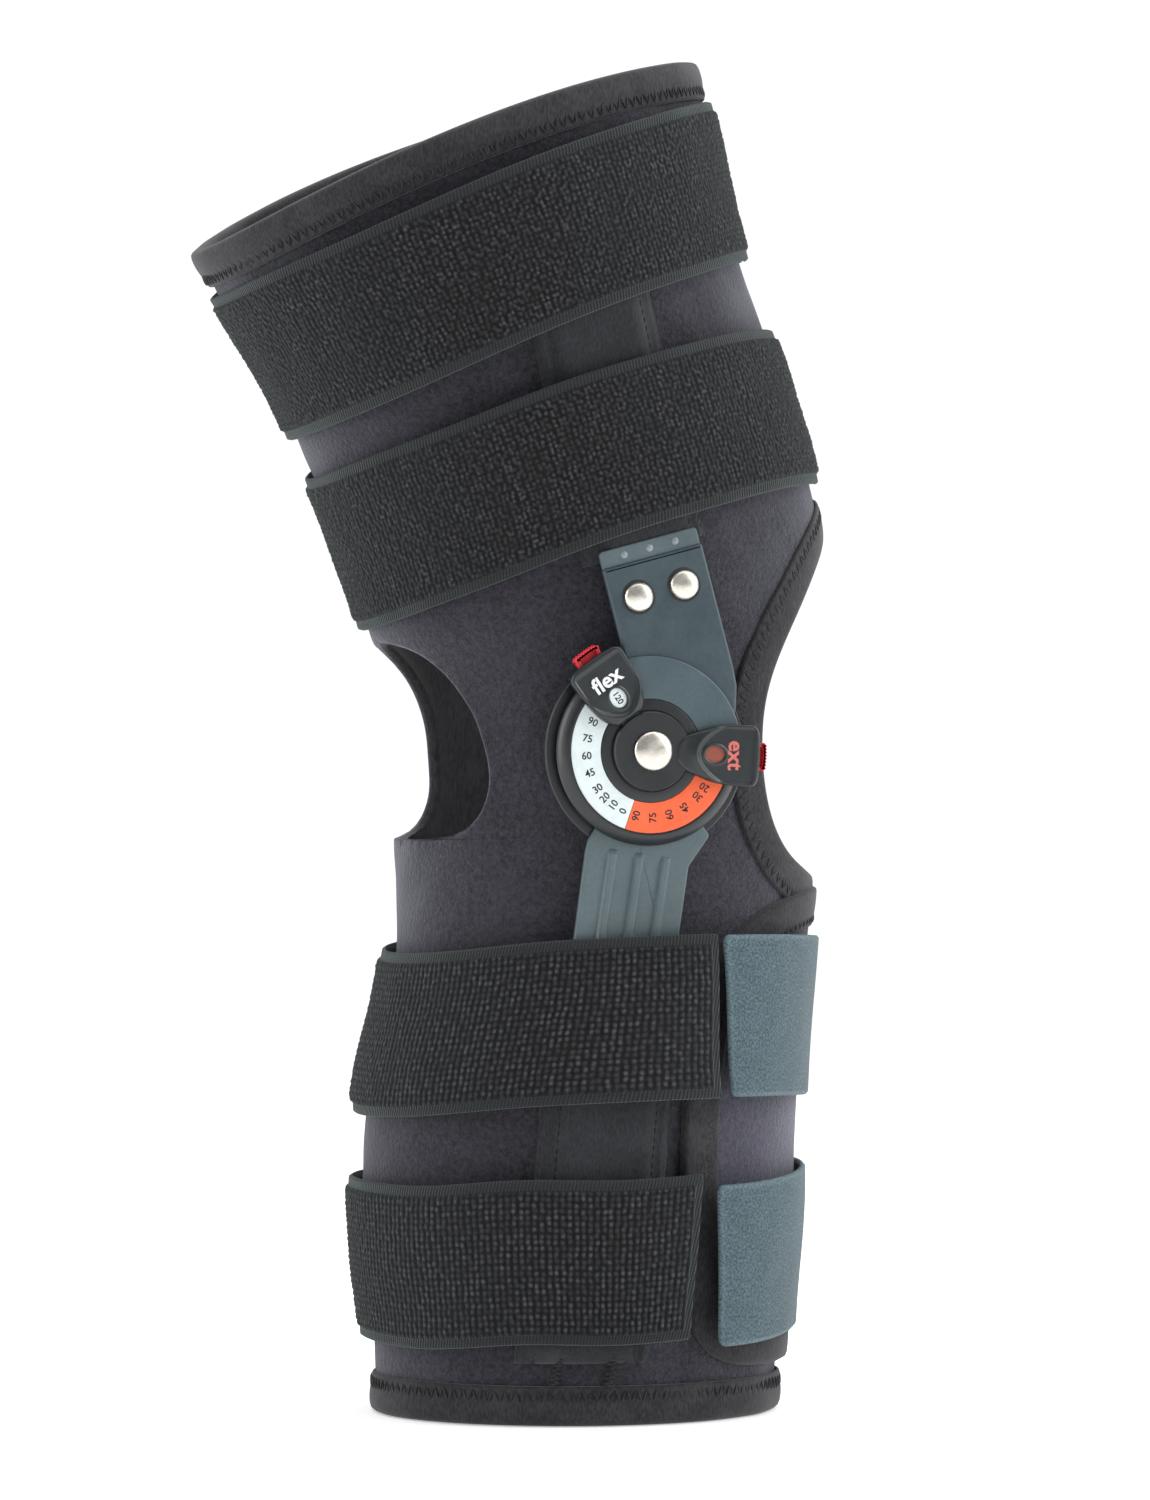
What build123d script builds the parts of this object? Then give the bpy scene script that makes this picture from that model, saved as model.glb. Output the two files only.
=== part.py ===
from build123d import *
import os
from math import cos, radians, sin

# A wraparound knee brace with a range-of-motion hinge on each side of the knee.
# Millimetres. +X points to the front of the leg, +Y to the medial side, +Z up.
# The origin is on the common axis of the two hinges, midway between them.
# The knee is bent 24 degrees: the shin hangs nearly upright, the thigh leans back.

# ---------------------------------------------------------------- driving dimensions
NEOPRENE = 4.5            # wrap thickness
THIGH_LEAN = 20.5         # backward lean of the thigh cuff, degrees
SECTION_LEAN = 16.5       # lean of the lower thigh strap
SHIN_LEAN = 2.0           # lean of the shin cuff
REACH = 140.0             # more than the half size of the brace in any section

# Leg stations from the top hem down: centre x, centre z, lean, half depth, half width
LEG = [
    (-53.9, 197.7, THIGH_LEAN, 85.5, 77.8),
    (-42.5, 168.9, THIGH_LEAN, 80.6, 73.8),
    (-23.7, 123.5, THIGH_LEAN, 74.0, 67.6),
    (-1.1, 59.1, SECTION_LEAN, 73.0, 59.2),
    (6.0, 22.0, 8.0, 67.0, 57.2),
    (4.0, -25.0, 3.0, 66.0, 57.6),
    (1.5, -62.0, SHIN_LEAN, 63.5, 57.8),
    (-4.8, -110.0, SHIN_LEAN, 66.5, 57.6),
    (-5.5, -135.0, SHIN_LEAN, 66.5, 57.4),
    (-5.2, -182.0, SHIN_LEAN, 63.0, 56.4),
    (-6.0, -207.0, SHIN_LEAN, 62.5, 55.0),
]

HEM_TOP, HEM_ARCH = 185.0, 13.0     # top edge height on the thigh axis, rise at the side
HEM_BOTTOM = -202.0                 # bottom edge
HEM_WIDTH = 12.5                    # bound hem
BINDING = 1.2                       # binding tape thickness
SEAM_DROP = 8.0                     # from the lower thigh strap down to the cuff's seam
KNEE_SEAM = -42.0                   # seam between the knee panels and the shin wrap
SEAM_GAP = 0.5                      # between soft pieces of the thigh and of the shin

STRAP_WIDTH = 49.5
STRAP_THICK = 2.6
STRAP_ARCH = 9.0                    # rise of a thigh strap at the side of the leg
SHIN_STRAP_ARCH = 0.1
THIGH_STRAP_RISE = (0.4, 7.6)       # strap's inside above the wrap: at the front, at the side
SHIN_STRAP_RISE = (2.3, 9.8)
FLAP = (0.1, 1.9)                   # front flap, from the wrap's outside
ROOT_GAP = 0.6                      # degrees between a strap's end and its hook tab

# Hinge: distances outward from the middle plane of the brace
BACK_DISC = (58.4, 60.0)
LOWER_ARM = (60.2, 62.4)
UPPER_ARM = (62.6, 65.0)
DIAL_TOP = 66.5
LABEL_DEPTH = 0.5
KNOB_LEVEL = (66.8, 69.6)
FLEXION_EYE = (66.8, 67.6)
EXTENSION_EYE = (67.8, 68.6)
RIVET_TOP = 71.2

BACK_DISC_R = 31.0
DIAL_R = 28.4
DIAL_FLAT_R = 25.6
LABEL_R = (15.6, 24.7)
EYE_R = 11.8
RIVET_R, SHOULDER_R, RIVET_HEAD_R = 3.0, 4.2, 6.0
BUSH_R = 4.0
RUNNING = 0.05                      # radial running clearance
PRINT_SPAN = ((112.0, 251.0), (251.0, 368.0))   # flexion scale, extension scale

ARM_WIDTH = 32.0
ARM_ANGLE = 15.0                    # lean of the upper arm
ARM_LENGTH = 61.5
ARM_LIP, LIP_DROP = 5.2, 0.8        # thinned lip at the upper arm's end: length, how far down
ARM_RIVET_SPACING, ARM_RIVET_Q, ARM_RIVET_R = 14.7, 45.5, 2.4
ARM_RIVET_DOME = ((4.5, 0, 1.0), (3.9, 1.0, 0.7), (2.6, 1.7, 0.5))    # radius, level above the arm, height
STAY_PIN_SPACING, STAY_PIN_R, STAY_PIN_HEIGHT = 8.2, 0.9, 0.5
STAY_WIDTH, STAY_THICK, STAY_END = 20.0, 2.2, 172.5
STAY_FOOT = 36.0                    # where the upper stay starts behind the arm
STAY_FLARE = 0.121                  # outward slope of the upper stay
LOWER_ANGLE = 261.6                 # direction of the lower arm round the dial
LOWER_OFFSET = 2.0                  # its centre line, forward of the axis
SHOULDER = (236.4, 307.6, 32.2)     # stop shoulders: from, to, radius
SHOULDER_FOOT = 20.0                # inner radius of the plate between the shoulders
STRIP_MIDDLE, STRIP_LENGTH = 48.0, 40.0    # straight part of the lower arm, along its centre line
ARM_BLANK, BLANK_DEPTH = 50.0, 20.0        # level and depth of the blank that the lower arm is cut from
RIB_SPACING, RIB_MIDDLE, RIB_SIDE = 8.3, 46.5, 0.4     # pressed ribs: spacing, middle, shift forward
RIB_LENGTH, RIB_WIDTH, RIB_HEIGHT = 34.0, 2.6, 0.6
STAY_BEND, STAY_LEAN, LOWER_END = -62.0, 5.0, -178.0
STAY_TUCK = 0.029                   # inward slope of the lower stay
HEAD_R = 27.8

FLEXION_ANGLE, EXTENSION_ANGLE = 124.6, 357.0
KNOB_REACH, SKIRT_R, SKIRT_HALF = 33.0, 28.8, 15.0
SKIRT_FOOT = 60.3
BUTTON_SPAN, BUTTON_WIDTH, BUTTON_LEVEL = (31.3, 35.0), 8.0, (63.0, 67.2)
BUTTON_POCKET_R, BUTTON_PLAY = 29.7, 0.2
SPRING_LEVEL, SPRING_DEPTH = 64.2, 1.8
WINDOW_R, WINDOW = 19.3, (3.1, 2.6)

os.makedirs("parts", exist_ok=True)


# ---------------------------------------------------------------- planes and helpers
def lean_vector(angle):
    return (cos(radians(angle)), 0, sin(radians(angle)))


def section_plane(x, z, lean):
    """Plane across the leg: local x forward, local y medial, normal up the leg."""
    return Plane(origin=(x, 0, z), x_dir=lean_vector(lean), z_dir=lean_vector(lean + 90))


def side_plane(lean):
    """Plane seen from the lateral side: local x forward, local y up the leg."""
    return Plane(origin=(0, 0, 0), x_dir=lean_vector(lean), z_dir=(0, -1, 0))


def dial_plane(angle, level):
    """Plane of the lateral dial, this far out, its local x turned by the angle."""
    return Plane(origin=(0, -level, 0), x_dir=lean_vector(angle), z_dir=(0, -1, 0))


def turning_plane():
    """Half plane for turned pieces: local x is radius, local y is distance outward."""
    return Plane(origin=(0, 0, 0), x_dir=(1, 0, 0), z_dir=(0, 0, -1))


def export(part, name):
    part.label = name
    export_step(part, f"parts/{name}.step")


def export_pair(part, name):
    """Writes a lateral piece and its mirror image for the medial side."""
    export(part, f"lateral_{name}")
    with BuildPart() as twin:
        mirror(part, about=Plane.XZ)
    export(twin.part, f"medial_{name}")


def export_halves(part, name):
    """Writes the lateral and the medial panel of a tube of the wrap."""
    for side, keep in (("lateral", Keep.TOP), ("medial", Keep.BOTTOM)):
        with BuildPart() as panel:
            add(part)
            split(bisect_by=Plane.XZ, keep=keep)
        export(panel.part, f"{side}_{name}")


def leg_solid(depth_growth, width_growth):
    with BuildPart() as leg:
        for x, z, lean, depth, width in LEG:
            with BuildSketch(section_plane(x, z, lean)):
                Ellipse(depth + depth_growth, width + width_growth)
        loft()
    return leg.part


def shell(inner, outer):
    """Skin between two growths of the leg, each a (depth, width) pair."""
    with BuildPart() as skin:
        add(leg_solid(*outer))
        add(leg_solid(*inner), mode=Mode.SUBTRACT)
    return skin.part


def wedge(start, end):
    """Sector of a wide circle round the centre, between two angles less than 180 apart."""
    middle = (start + end) / 2
    far = [(REACH * cos(radians(a)), REACH * sin(radians(a))) for a in (start, middle, end)]
    with BuildSketch() as sector:
        with BuildLine():
            Polyline((0, 0), *far, close=True)
        make_face()
    return sector.sketch


def side_band(lean, middle, low, high, arch):
    """Prism seen from the side as a band between two arched edges."""
    with BuildPart() as band:
        with BuildSketch(side_plane(lean)):
            with BuildLine():
                back, front, sag = middle - REACH, middle + REACH, 2 * arch
                lower = ThreePointArc((back, low - sag), (middle, low + arch), (front, low - sag))
                upper = ThreePointArc((back, high - sag), (middle, high + arch), (front, high - sag))
                Line(lower @ 0, upper @ 0)
                Line(lower @ 1, upper @ 1)
            make_face()
        extrude(amount=REACH, both=True)
    return band.part


def flat_band(lean, low, high):
    """Prism seen from the side as a straight band."""
    with BuildPart() as band:
        with BuildSketch(side_plane(lean)):
            with Locations((0, (low + high) / 2)):
                Rectangle(2 * REACH, high - low)
        extrude(amount=REACH, both=True)
    return band.part


# ---------------------------------------------------------------- openings of the wrap
# Side view, from the upper end of each edge to the lower one
PATELLA_EDGE = [(100, 82), (76, 71), (55, 45), (41, 17), (39.5, -3), (50, -31), (64, -39), (100, -46)]
PATELLA_BINDING = [(100, 94), (76, 83), (50, 57), (31, 26), (27, -3), (41, -40), (60, -51), (100, -58)]
POPLITEAL_EDGE = [(-100, 36), (-60, 28), (-50, 16), (-44.5, -1), (-44, -12), (-49, -23), (-60, -27),
                  (-100, -24)]
FLAP_EDGE = [(100, -47), (48, -49), (24, -62), (15, -90), (13, -150), (20, -180), (60, -187), (100, -187)]


def beyond(edge):
    """Prism across the leg on the far side of a curved edge, seen from the side."""
    with BuildPart() as cutter:
        with BuildSketch(side_plane(0)):
            with BuildLine():
                rim = Spline(*edge)
                Line(rim @ 1, rim @ 0)
            make_face()
        extrude(amount=REACH, both=True)
    return cutter.part


# ---------------------------------------------------------------- the wrap and its hems
THIGH_MIDDLE = 19.0                 # middle of the thigh cuff along side_plane x
STRAP_MIDDLE = 15.7
SEAM = 56.5 - SEAM_DROP             # seam height on the lower strap's own axis

wrap_skin = shell((-NEOPRENE, -NEOPRENE), (0, 0))
above_seam = side_band(SECTION_LEAN, STRAP_MIDDLE, SEAM, 3 * REACH, STRAP_ARCH / 3)
below_seam = side_band(SECTION_LEAN, STRAP_MIDDLE, -3 * REACH, SEAM, STRAP_ARCH / 3)
below_top = side_band(THIGH_LEAN, THIGH_MIDDLE, -2 * REACH, HEM_TOP, HEM_ARCH / 3)
below_knee = flat_band(0, HEM_BOTTOM, KNEE_SEAM - SEAM_GAP)
above_knee = flat_band(0, KNEE_SEAM, 2 * REACH)

with BuildPart() as thigh_wrap:
    add(wrap_skin)
    add(above_seam, mode=Mode.INTERSECT)
    add(below_top, mode=Mode.INTERSECT)
export_halves(thigh_wrap.part, "thigh_wrap")

with BuildPart() as shin_wrap:
    add(wrap_skin)
    add(below_knee, mode=Mode.INTERSECT)
export_halves(shin_wrap.part, "shin_wrap")

with BuildPart() as knee_ring:
    add(wrap_skin)
    add(below_seam, mode=Mode.INTERSECT)
    add(above_knee, mode=Mode.INTERSECT)
    add(beyond(PATELLA_EDGE), mode=Mode.SUBTRACT)
    add(beyond(POPLITEAL_EDGE), mode=Mode.SUBTRACT)

export_halves(knee_ring.part, "knee_panel")

hem_skin = shell((-NEOPRENE - BINDING, -NEOPRENE - BINDING), (BINDING, BINDING))
hem_core = shell((-NEOPRENE - 0.05, -NEOPRENE - 0.05), (0.05, 0.05))
with BuildPart() as top_core:
    add(hem_core)
    add(below_top, mode=Mode.INTERSECT)

with BuildPart() as bottom_core:
    add(hem_core)
    add(below_knee, mode=Mode.INTERSECT)

with BuildPart() as top_binding:
    add(hem_skin)
    add(side_band(THIGH_LEAN, THIGH_MIDDLE, HEM_TOP - HEM_WIDTH, HEM_TOP + BINDING, HEM_ARCH / 3),
        mode=Mode.INTERSECT)
    add(top_core.part, mode=Mode.SUBTRACT)
export(top_binding.part, "top_binding")

with BuildPart() as bottom_binding:
    add(hem_skin)
    add(flat_band(0, HEM_BOTTOM - BINDING, HEM_BOTTOM + HEM_WIDTH), mode=Mode.INTERSECT)
    add(bottom_core.part, mode=Mode.SUBTRACT)
export(bottom_binding.part, "bottom_binding")

with BuildPart() as patella_binding:
    add(shell((0.1, 0.1), (BINDING + 0.1, BINDING + 0.1)))
    add(beyond(PATELLA_BINDING), mode=Mode.INTERSECT)
    add(beyond(PATELLA_EDGE), mode=Mode.SUBTRACT)
    add(below_seam, mode=Mode.INTERSECT)
    add(above_knee, mode=Mode.INTERSECT)
export(patella_binding.part, "patella_binding")

# ---------------------------------------------------------------- stays, pockets and straps
def stay_prism(margin, start, end, under):
    """Upper stay's inclined run, grown by a margin; its underside may be carried inward."""
    low, high = UPPER_ARM[0] - STAY_THICK, UPPER_ARM[0]
    rise_start, rise_end = (start - ARM_LENGTH) * STAY_FLARE, (end - ARM_LENGTH) * STAY_FLARE
    with BuildPart() as prism:
        up, forward = lean_vector(90 + ARM_ANGLE), lean_vector(ARM_ANGLE)
        with BuildSketch(Plane(origin=(0, 0, 0), x_dir=up, z_dir=forward)):
            with BuildLine():
                Polyline((start, low + rise_start - margin - under), (end, low + rise_end - margin - under),
                         (end, high + rise_end + margin), (start, high + rise_start + margin), close=True)
            make_face()
        extrude(amount=ARM_WIDTH / 2 + STAY_WIDTH / 2 + margin)
    with BuildPart() as run:
        add(prism.part)
        with BuildSketch(dial_plane(ARM_ANGLE, 0)):
            with Locations((ARM_WIDTH / 2, (start + end) / 2)):
                Rectangle(STAY_WIDTH + 2 * margin, end - start)
        extrude(amount=REACH, mode=Mode.INTERSECT)
    return run.part


def stay_middle(z):
    """Where the lower stay's centre line is at a height."""
    bend_x = STAY_BEND * sin(radians(270 - LOWER_ANGLE)) + LOWER_OFFSET
    return bend_x + (z - STAY_BEND) * sin(radians(STAY_LEAN))


def lower_stay_prism(margin, top, bottom, under):
    """Lower stay's run below the bend, grown by a margin; its underside may be carried inward."""
    foot, high = LOWER_ARM[0] - margin - under, LOWER_ARM[1]
    tuck_top, tuck_bottom = (STAY_BEND - top) * STAY_TUCK, (STAY_BEND - bottom) * STAY_TUCK
    top_x, bottom_x = [stay_middle(z) for z in (top, bottom)]
    half = STAY_WIDTH / 2 + margin
    with BuildPart() as prism:
        with BuildSketch(Plane(origin=(-REACH, 0, 0), x_dir=(0, -1, 0), z_dir=(1, 0, 0))):
            with BuildLine():
                Polyline((foot - tuck_top, -top), (foot - tuck_bottom, -bottom),
                         (high + margin - tuck_bottom, -bottom), (high + margin - tuck_top, -top),
                         close=True)
            make_face()
        extrude(amount=2 * REACH)
    with BuildPart() as run:
        add(prism.part)
        with BuildSketch(dial_plane(0, 0)):
            with BuildLine():
                Polyline((top_x - half, top), (bottom_x - half, bottom), (bottom_x + half, bottom),
                         (top_x + half, top), close=True)
            make_face()
        extrude(amount=REACH, mode=Mode.INTERSECT)
    return run.part


POCKET_SKIN = 0.8
leg_body = leg_solid(0.1, 0.1)

with BuildPart() as upper_pocket:
    add(stay_prism(POCKET_SKIN + 0.3, 68.0, STAY_END + 3, 12.0))
    add(stay_prism(0.15, ARM_LENGTH, STAY_END + 0.5, 0), mode=Mode.SUBTRACT)
    add(leg_body, mode=Mode.SUBTRACT)
export_pair(upper_pocket.part, "upper_stay_pocket")

with BuildPart() as lower_pocket:
    add(lower_stay_prism(POCKET_SKIN + 0.3, -66.0, LOWER_END - 3, 12.0))
    add(lower_stay_prism(0.15, STAY_BEND, LOWER_END - 0.5, 0), mode=Mode.SUBTRACT)
    add(leg_body, mode=Mode.SUBTRACT)
export_pair(lower_pocket.part, "lower_stay_pocket")

# name, cuff, lean, middle, low edge; then degrees round the leg from its front, lateral side negative:
# free end of the strap, free end of the tab, root of the tab
STRAPS = [
    ("upper_thigh", "thigh", THIGH_LEAN, THIGH_MIDDLE, 122.0, -10.0, -6.0, 62.0),
    ("lower_thigh", "thigh", SECTION_LEAN, STRAP_MIDDLE, 57.0, -10.0, -6.0, 62.0),
    ("upper_calf", "shin", SHIN_LEAN, -2.0, -108.6, -76.0, -71.0, 16.0),
    ("lower_calf", "shin", SHIN_LEAN, -5.5, -179.6, -73.0, -69.0, 16.0),
]

thigh_strap_skin = shell(THIGH_STRAP_RISE, tuple(rise + STRAP_THICK for rise in THIGH_STRAP_RISE))
shin_strap_skin = shell(SHIN_STRAP_RISE, tuple(rise + STRAP_THICK for rise in SHIN_STRAP_RISE))


def strap_pieces(skin, lean, middle, low, arch, strap_end, tab_end, root):
    """A strap's band and its hook tab, cut from one ring."""
    centre = (middle * cos(radians(lean)) - low * sin(radians(lean)),
              middle * sin(radians(lean)) + low * cos(radians(lean)))
    with BuildPart() as ring:
        add(skin)
        add(side_band(lean, middle, low, low + STRAP_WIDTH, arch / 3), mode=Mode.INTERSECT)
    with BuildPart() as band:
        add(ring.part)
        with BuildSketch(section_plane(*centre, lean)):
            add(wedge(strap_end, root + ROOT_GAP))
        extrude(amount=REACH, both=True, mode=Mode.SUBTRACT)
    with BuildPart() as tab:
        add(ring.part)
        with BuildSketch(section_plane(*centre, lean)):
            add(wedge(tab_end, root))
        extrude(amount=REACH, both=True, mode=Mode.INTERSECT)
    return band.part, tab.part


for name, side, lean, middle, low, strap_end, tab_end, root in STRAPS:
    skin = thigh_strap_skin if side == "thigh" else shin_strap_skin
    arch = STRAP_ARCH if side == "thigh" else SHIN_STRAP_ARCH
    band_part, tab_part = strap_pieces(skin, lean, middle, low, arch, strap_end, tab_end, root)
    export(band_part, f"{name}_strap")
    export(tab_part, f"{name}_hook_tab")

with BuildPart() as front_flap:
    add(shell((FLAP[0], FLAP[0]), (FLAP[1], FLAP[1])))
    add(beyond(FLAP_EDGE), mode=Mode.INTERSECT)
export(front_flap.part, "front_flap")

# ---------------------------------------------------------------- hinge, lateral side and its mirror image
def annulus_sector(inner, outer, start, end):
    """Part of a flat ring between two angles."""
    with BuildSketch() as ring:
        Circle(outer)
        Circle(inner, mode=Mode.SUBTRACT)
        add(wedge(start, end), mode=Mode.INTERSECT)
    return ring.sketch


def turned(profile):
    """Solid of revolution about the hinge axis from (radius, distance outward) points."""
    with BuildPart() as piece:
        with BuildSketch(turning_plane()):
            with BuildLine():
                Polyline(*profile, close=True)
            make_face()
        revolve(axis=Axis.Y)
    return piece.part


ARM_RIVETS = [(ARM_WIDTH / 2 + side * ARM_RIVET_SPACING / 2, ARM_RIVET_Q) for side in (-1, 1)]

export_pair(turned([(RIVET_R, BACK_DISC[0]), (BACK_DISC_R, BACK_DISC[0]), (BACK_DISC_R, BACK_DISC[1] - 0.4),
                    (BACK_DISC_R - 0.4, BACK_DISC[1]), (RIVET_R, BACK_DISC[1])]), "back_disc")
export_pair(turned([(RIVET_R, BACK_DISC[1]), (BUSH_R, BACK_DISC[1]), (BUSH_R, UPPER_ARM[0]),
                    (RIVET_R, UPPER_ARM[0])]), "pivot_bush")

groove_r, groove_foot = (LABEL_R[0] - 0.1, LABEL_R[1] + 0.1), DIAL_TOP - LABEL_DEPTH
dial_body = turned([(RIVET_R, UPPER_ARM[0]), (DIAL_R, UPPER_ARM[0]), (DIAL_R, UPPER_ARM[0] + 0.9),
                    (DIAL_FLAT_R, DIAL_TOP), (groove_r[1], DIAL_TOP), (groove_r[1], groove_foot),
                    (groove_r[0], groove_foot), (groove_r[0], DIAL_TOP), (RIVET_R, DIAL_TOP)])
with BuildPart() as upper_arm:
    with BuildSketch(dial_plane(ARM_ANGLE, UPPER_ARM[0])) as plate:
        with BuildLine():
            Polyline((0, 0), (0, ARM_LENGTH), (ARM_WIDTH, ARM_LENGTH), (ARM_WIDTH, 14), (31.4, 8),
                     (28.2, 3.2), close=True)
        make_face()
        fillet(plate.vertices().group_by(Axis.Y)[-1], 1.6)
        Circle(RIVET_R, mode=Mode.SUBTRACT)
        with Locations(*ARM_RIVETS):
            Circle(ARM_RIVET_R, mode=Mode.SUBTRACT)
    extrude(amount=UPPER_ARM[1] - UPPER_ARM[0])
    with BuildSketch(dial_plane(ARM_ANGLE, UPPER_ARM[1])):
        with Locations((ARM_WIDTH / 2, ARM_LENGTH - ARM_LIP / 2)):
            Rectangle(ARM_WIDTH + 2, ARM_LIP + 0.01)
    extrude(amount=-LIP_DROP, mode=Mode.SUBTRACT)
    add(dial_body)
export_pair(upper_arm.part, "upper_arm")

with BuildPart() as upper_stay:
    with BuildSketch(dial_plane(ARM_ANGLE, UPPER_ARM[0] - STAY_THICK)):
        with Locations((ARM_WIDTH / 2, (STAY_FOOT + ARM_LENGTH) / 2)):
            Rectangle(STAY_WIDTH, ARM_LENGTH - STAY_FOOT)
        with Locations(*ARM_RIVETS):
            Circle(ARM_RIVET_R, mode=Mode.SUBTRACT)
    extrude(amount=STAY_THICK)
    add(stay_prism(0, ARM_LENGTH, STAY_END, 0))
export_pair(upper_stay.part, "upper_stay")

with BuildPart() as arm_rivets:
    stem_foot = UPPER_ARM[0] - STAY_THICK
    for p, q in ARM_RIVETS:
        with BuildSketch(dial_plane(ARM_ANGLE, stem_foot)):
            with Locations((p, q)):
                Circle(ARM_RIVET_R)
        extrude(amount=UPPER_ARM[1] - stem_foot)
        for radius, level, height in ARM_RIVET_DOME:
            with BuildSketch(dial_plane(ARM_ANGLE, UPPER_ARM[1] + level)):
                with Locations((p, q)):
                    Circle(radius)
            extrude(amount=height, taper=30)
export_pair(arm_rivets.part, "arm_rivets")

with BuildPart() as stay_pins:
    with BuildSketch(dial_plane(ARM_ANGLE, UPPER_ARM[1] - LIP_DROP)):
        with Locations((ARM_WIDTH / 2, ARM_LENGTH - ARM_LIP / 2)):
            with GridLocations(STAY_PIN_SPACING, 0, 3, 1):
                Circle(STAY_PIN_R)
    extrude(amount=STAY_PIN_HEIGHT)
export_pair(stay_pins.part, "stay_pins")

with BuildPart() as lower_arm:
    with BuildSketch(dial_plane(0, ARM_BLANK)):
        Circle(HEAD_R)
        add(annulus_sector(SHOULDER_FOOT, SHOULDER[2], SHOULDER[0], SHOULDER[1]))
    extrude(amount=BLANK_DEPTH)
    with BuildSketch(dial_plane(LOWER_ANGLE, ARM_BLANK)):
        with Locations((STRIP_MIDDLE, LOWER_OFFSET)):
            Rectangle(STRIP_LENGTH, ARM_WIDTH)
    extrude(amount=BLANK_DEPTH)
    with BuildSketch(dial_plane(0, ARM_BLANK)):
        Circle(BUSH_R + RUNNING)
    extrude(amount=BLANK_DEPTH, mode=Mode.SUBTRACT)
    with BuildSketch(dial_plane(0, LOWER_ARM[0])):
        Rectangle(2 * REACH, 2 * REACH)
    extrude(amount=LOWER_ARM[1] - LOWER_ARM[0], mode=Mode.INTERSECT)
    add(lower_stay_prism(0, STAY_BEND, LOWER_END, 0))
    with BuildSketch(dial_plane(LOWER_ANGLE, LOWER_ARM[1])):
        with Locations((RIB_MIDDLE, LOWER_OFFSET + RIB_SIDE)):
            with GridLocations(0, RIB_SPACING, 1, 3):
                SlotOverall(RIB_LENGTH, RIB_WIDTH)
    extrude(amount=RIB_HEIGHT)
export_pair(lower_arm.part, "lower_arm")

for name, span in zip(("flexion_scale", "extension_scale"), PRINT_SPAN):
    with BuildPart() as scale:
        with BuildSketch(dial_plane(0, DIAL_TOP - LABEL_DEPTH)):
            add(annulus_sector(*LABEL_R, span[0] + 0.2, span[1] - 0.2))
        extrude(amount=LABEL_DEPTH)
    export_pair(scale.part, name)

export_pair(turned([(0, BACK_DISC[0]), (RIVET_R, BACK_DISC[0]), (RIVET_R, DIAL_TOP), (SHOULDER_R, DIAL_TOP),
                    (SHOULDER_R, EXTENSION_EYE[1] + 0.2), (RIVET_HEAD_R, EXTENSION_EYE[1] + 0.2),
                    (RIVET_HEAD_R, EXTENSION_EYE[1] + 0.8), (5.2, 70.3), (3.6, 70.9), (0, RIVET_TOP)]),
            "centre_rivet")


# ---------------------------------------------------------------- stop knobs, their buttons and springs
def knob_outline():
    """Wedge seen from outside: narrow at the hub, wide at the rim."""
    with BuildSketch() as outline:
        with Locations((11.5, 0)):
            Circle(3.9)
        with Locations((30.3, 6.8), (30.3, -6.8)):
            Circle(2.5)
        make_hull()
        Circle(KNOB_REACH, mode=Mode.INTERSECT)
    return outline.sketch


def stop_knob(angle, eye, tip_level):
    """Knob arm over the scale, an eye round the rivet, and a skirt down past the dial's rim."""
    with BuildPart() as knob:
        with BuildSketch(dial_plane(angle, KNOB_LEVEL[0])):
            add(knob_outline())
            Circle(EYE_R + 0.3, mode=Mode.SUBTRACT)
        extrude(amount=KNOB_LEVEL[1] - KNOB_LEVEL[0])
        with BuildSketch(dial_plane(angle, eye[0])):
            Circle(EYE_R)
            Circle(SHOULDER_R + RUNNING, mode=Mode.SUBTRACT)
            with Locations((EYE_R, 0)):
                Rectangle(3.0, 6.0)
        extrude(amount=eye[1] - eye[0])
        if tip_level:
            with BuildSketch(dial_plane(angle, eye[0])):
                add(knob_outline())
                Circle(EYE_R + 0.5, mode=Mode.INTERSECT)
            extrude(amount=tip_level - eye[0])
        with BuildSketch(dial_plane(angle, SKIRT_FOOT)):
            add(annulus_sector(SKIRT_R, KNOB_REACH, -SKIRT_HALF, SKIRT_HALF))
        extrude(amount=KNOB_LEVEL[0] - SKIRT_FOOT + 1.0)
        with BuildSketch(dial_plane(angle, KNOB_LEVEL[1])):
            add(knob_outline())
            offset(amount=-1.3, mode=Mode.SUBTRACT)
            Circle(EYE_R + 0.5, mode=Mode.SUBTRACT)
            with Locations((KNOB_REACH, 0)):
                Circle(5.0, mode=Mode.SUBTRACT)
        extrude(amount=0.5)
        with BuildSketch(dial_plane(angle, BUTTON_LEVEL[0] - BUTTON_PLAY)):
            with Locations(((BUTTON_POCKET_R + KNOB_REACH + 2) / 2, 0)):
                Rectangle(KNOB_REACH + 2 - BUTTON_POCKET_R, BUTTON_WIDTH + 2 * BUTTON_PLAY)
        extrude(amount=BUTTON_LEVEL[1] - BUTTON_LEVEL[0] + 2 * BUTTON_PLAY, mode=Mode.SUBTRACT)
        with BuildSketch(dial_plane(angle, KNOB_LEVEL[0] - 0.1)):
            with Locations((WINDOW_R, 0)):
                Ellipse(*WINDOW)
        extrude(amount=REACH, mode=Mode.SUBTRACT)
    return knob.part


def release_button(angle):
    with BuildPart() as button:
        with BuildSketch(dial_plane(angle, BUTTON_LEVEL[0])) as face:
            with Locations(((BUTTON_SPAN[0] + BUTTON_SPAN[1]) / 2, 0)):
                Rectangle(BUTTON_SPAN[1] - BUTTON_SPAN[0], BUTTON_WIDTH)
            fillet(face.vertices().group_by(Axis.X)[-1], 1.0)
        extrude(amount=BUTTON_LEVEL[1] - BUTTON_LEVEL[0])
    return button.part


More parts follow.
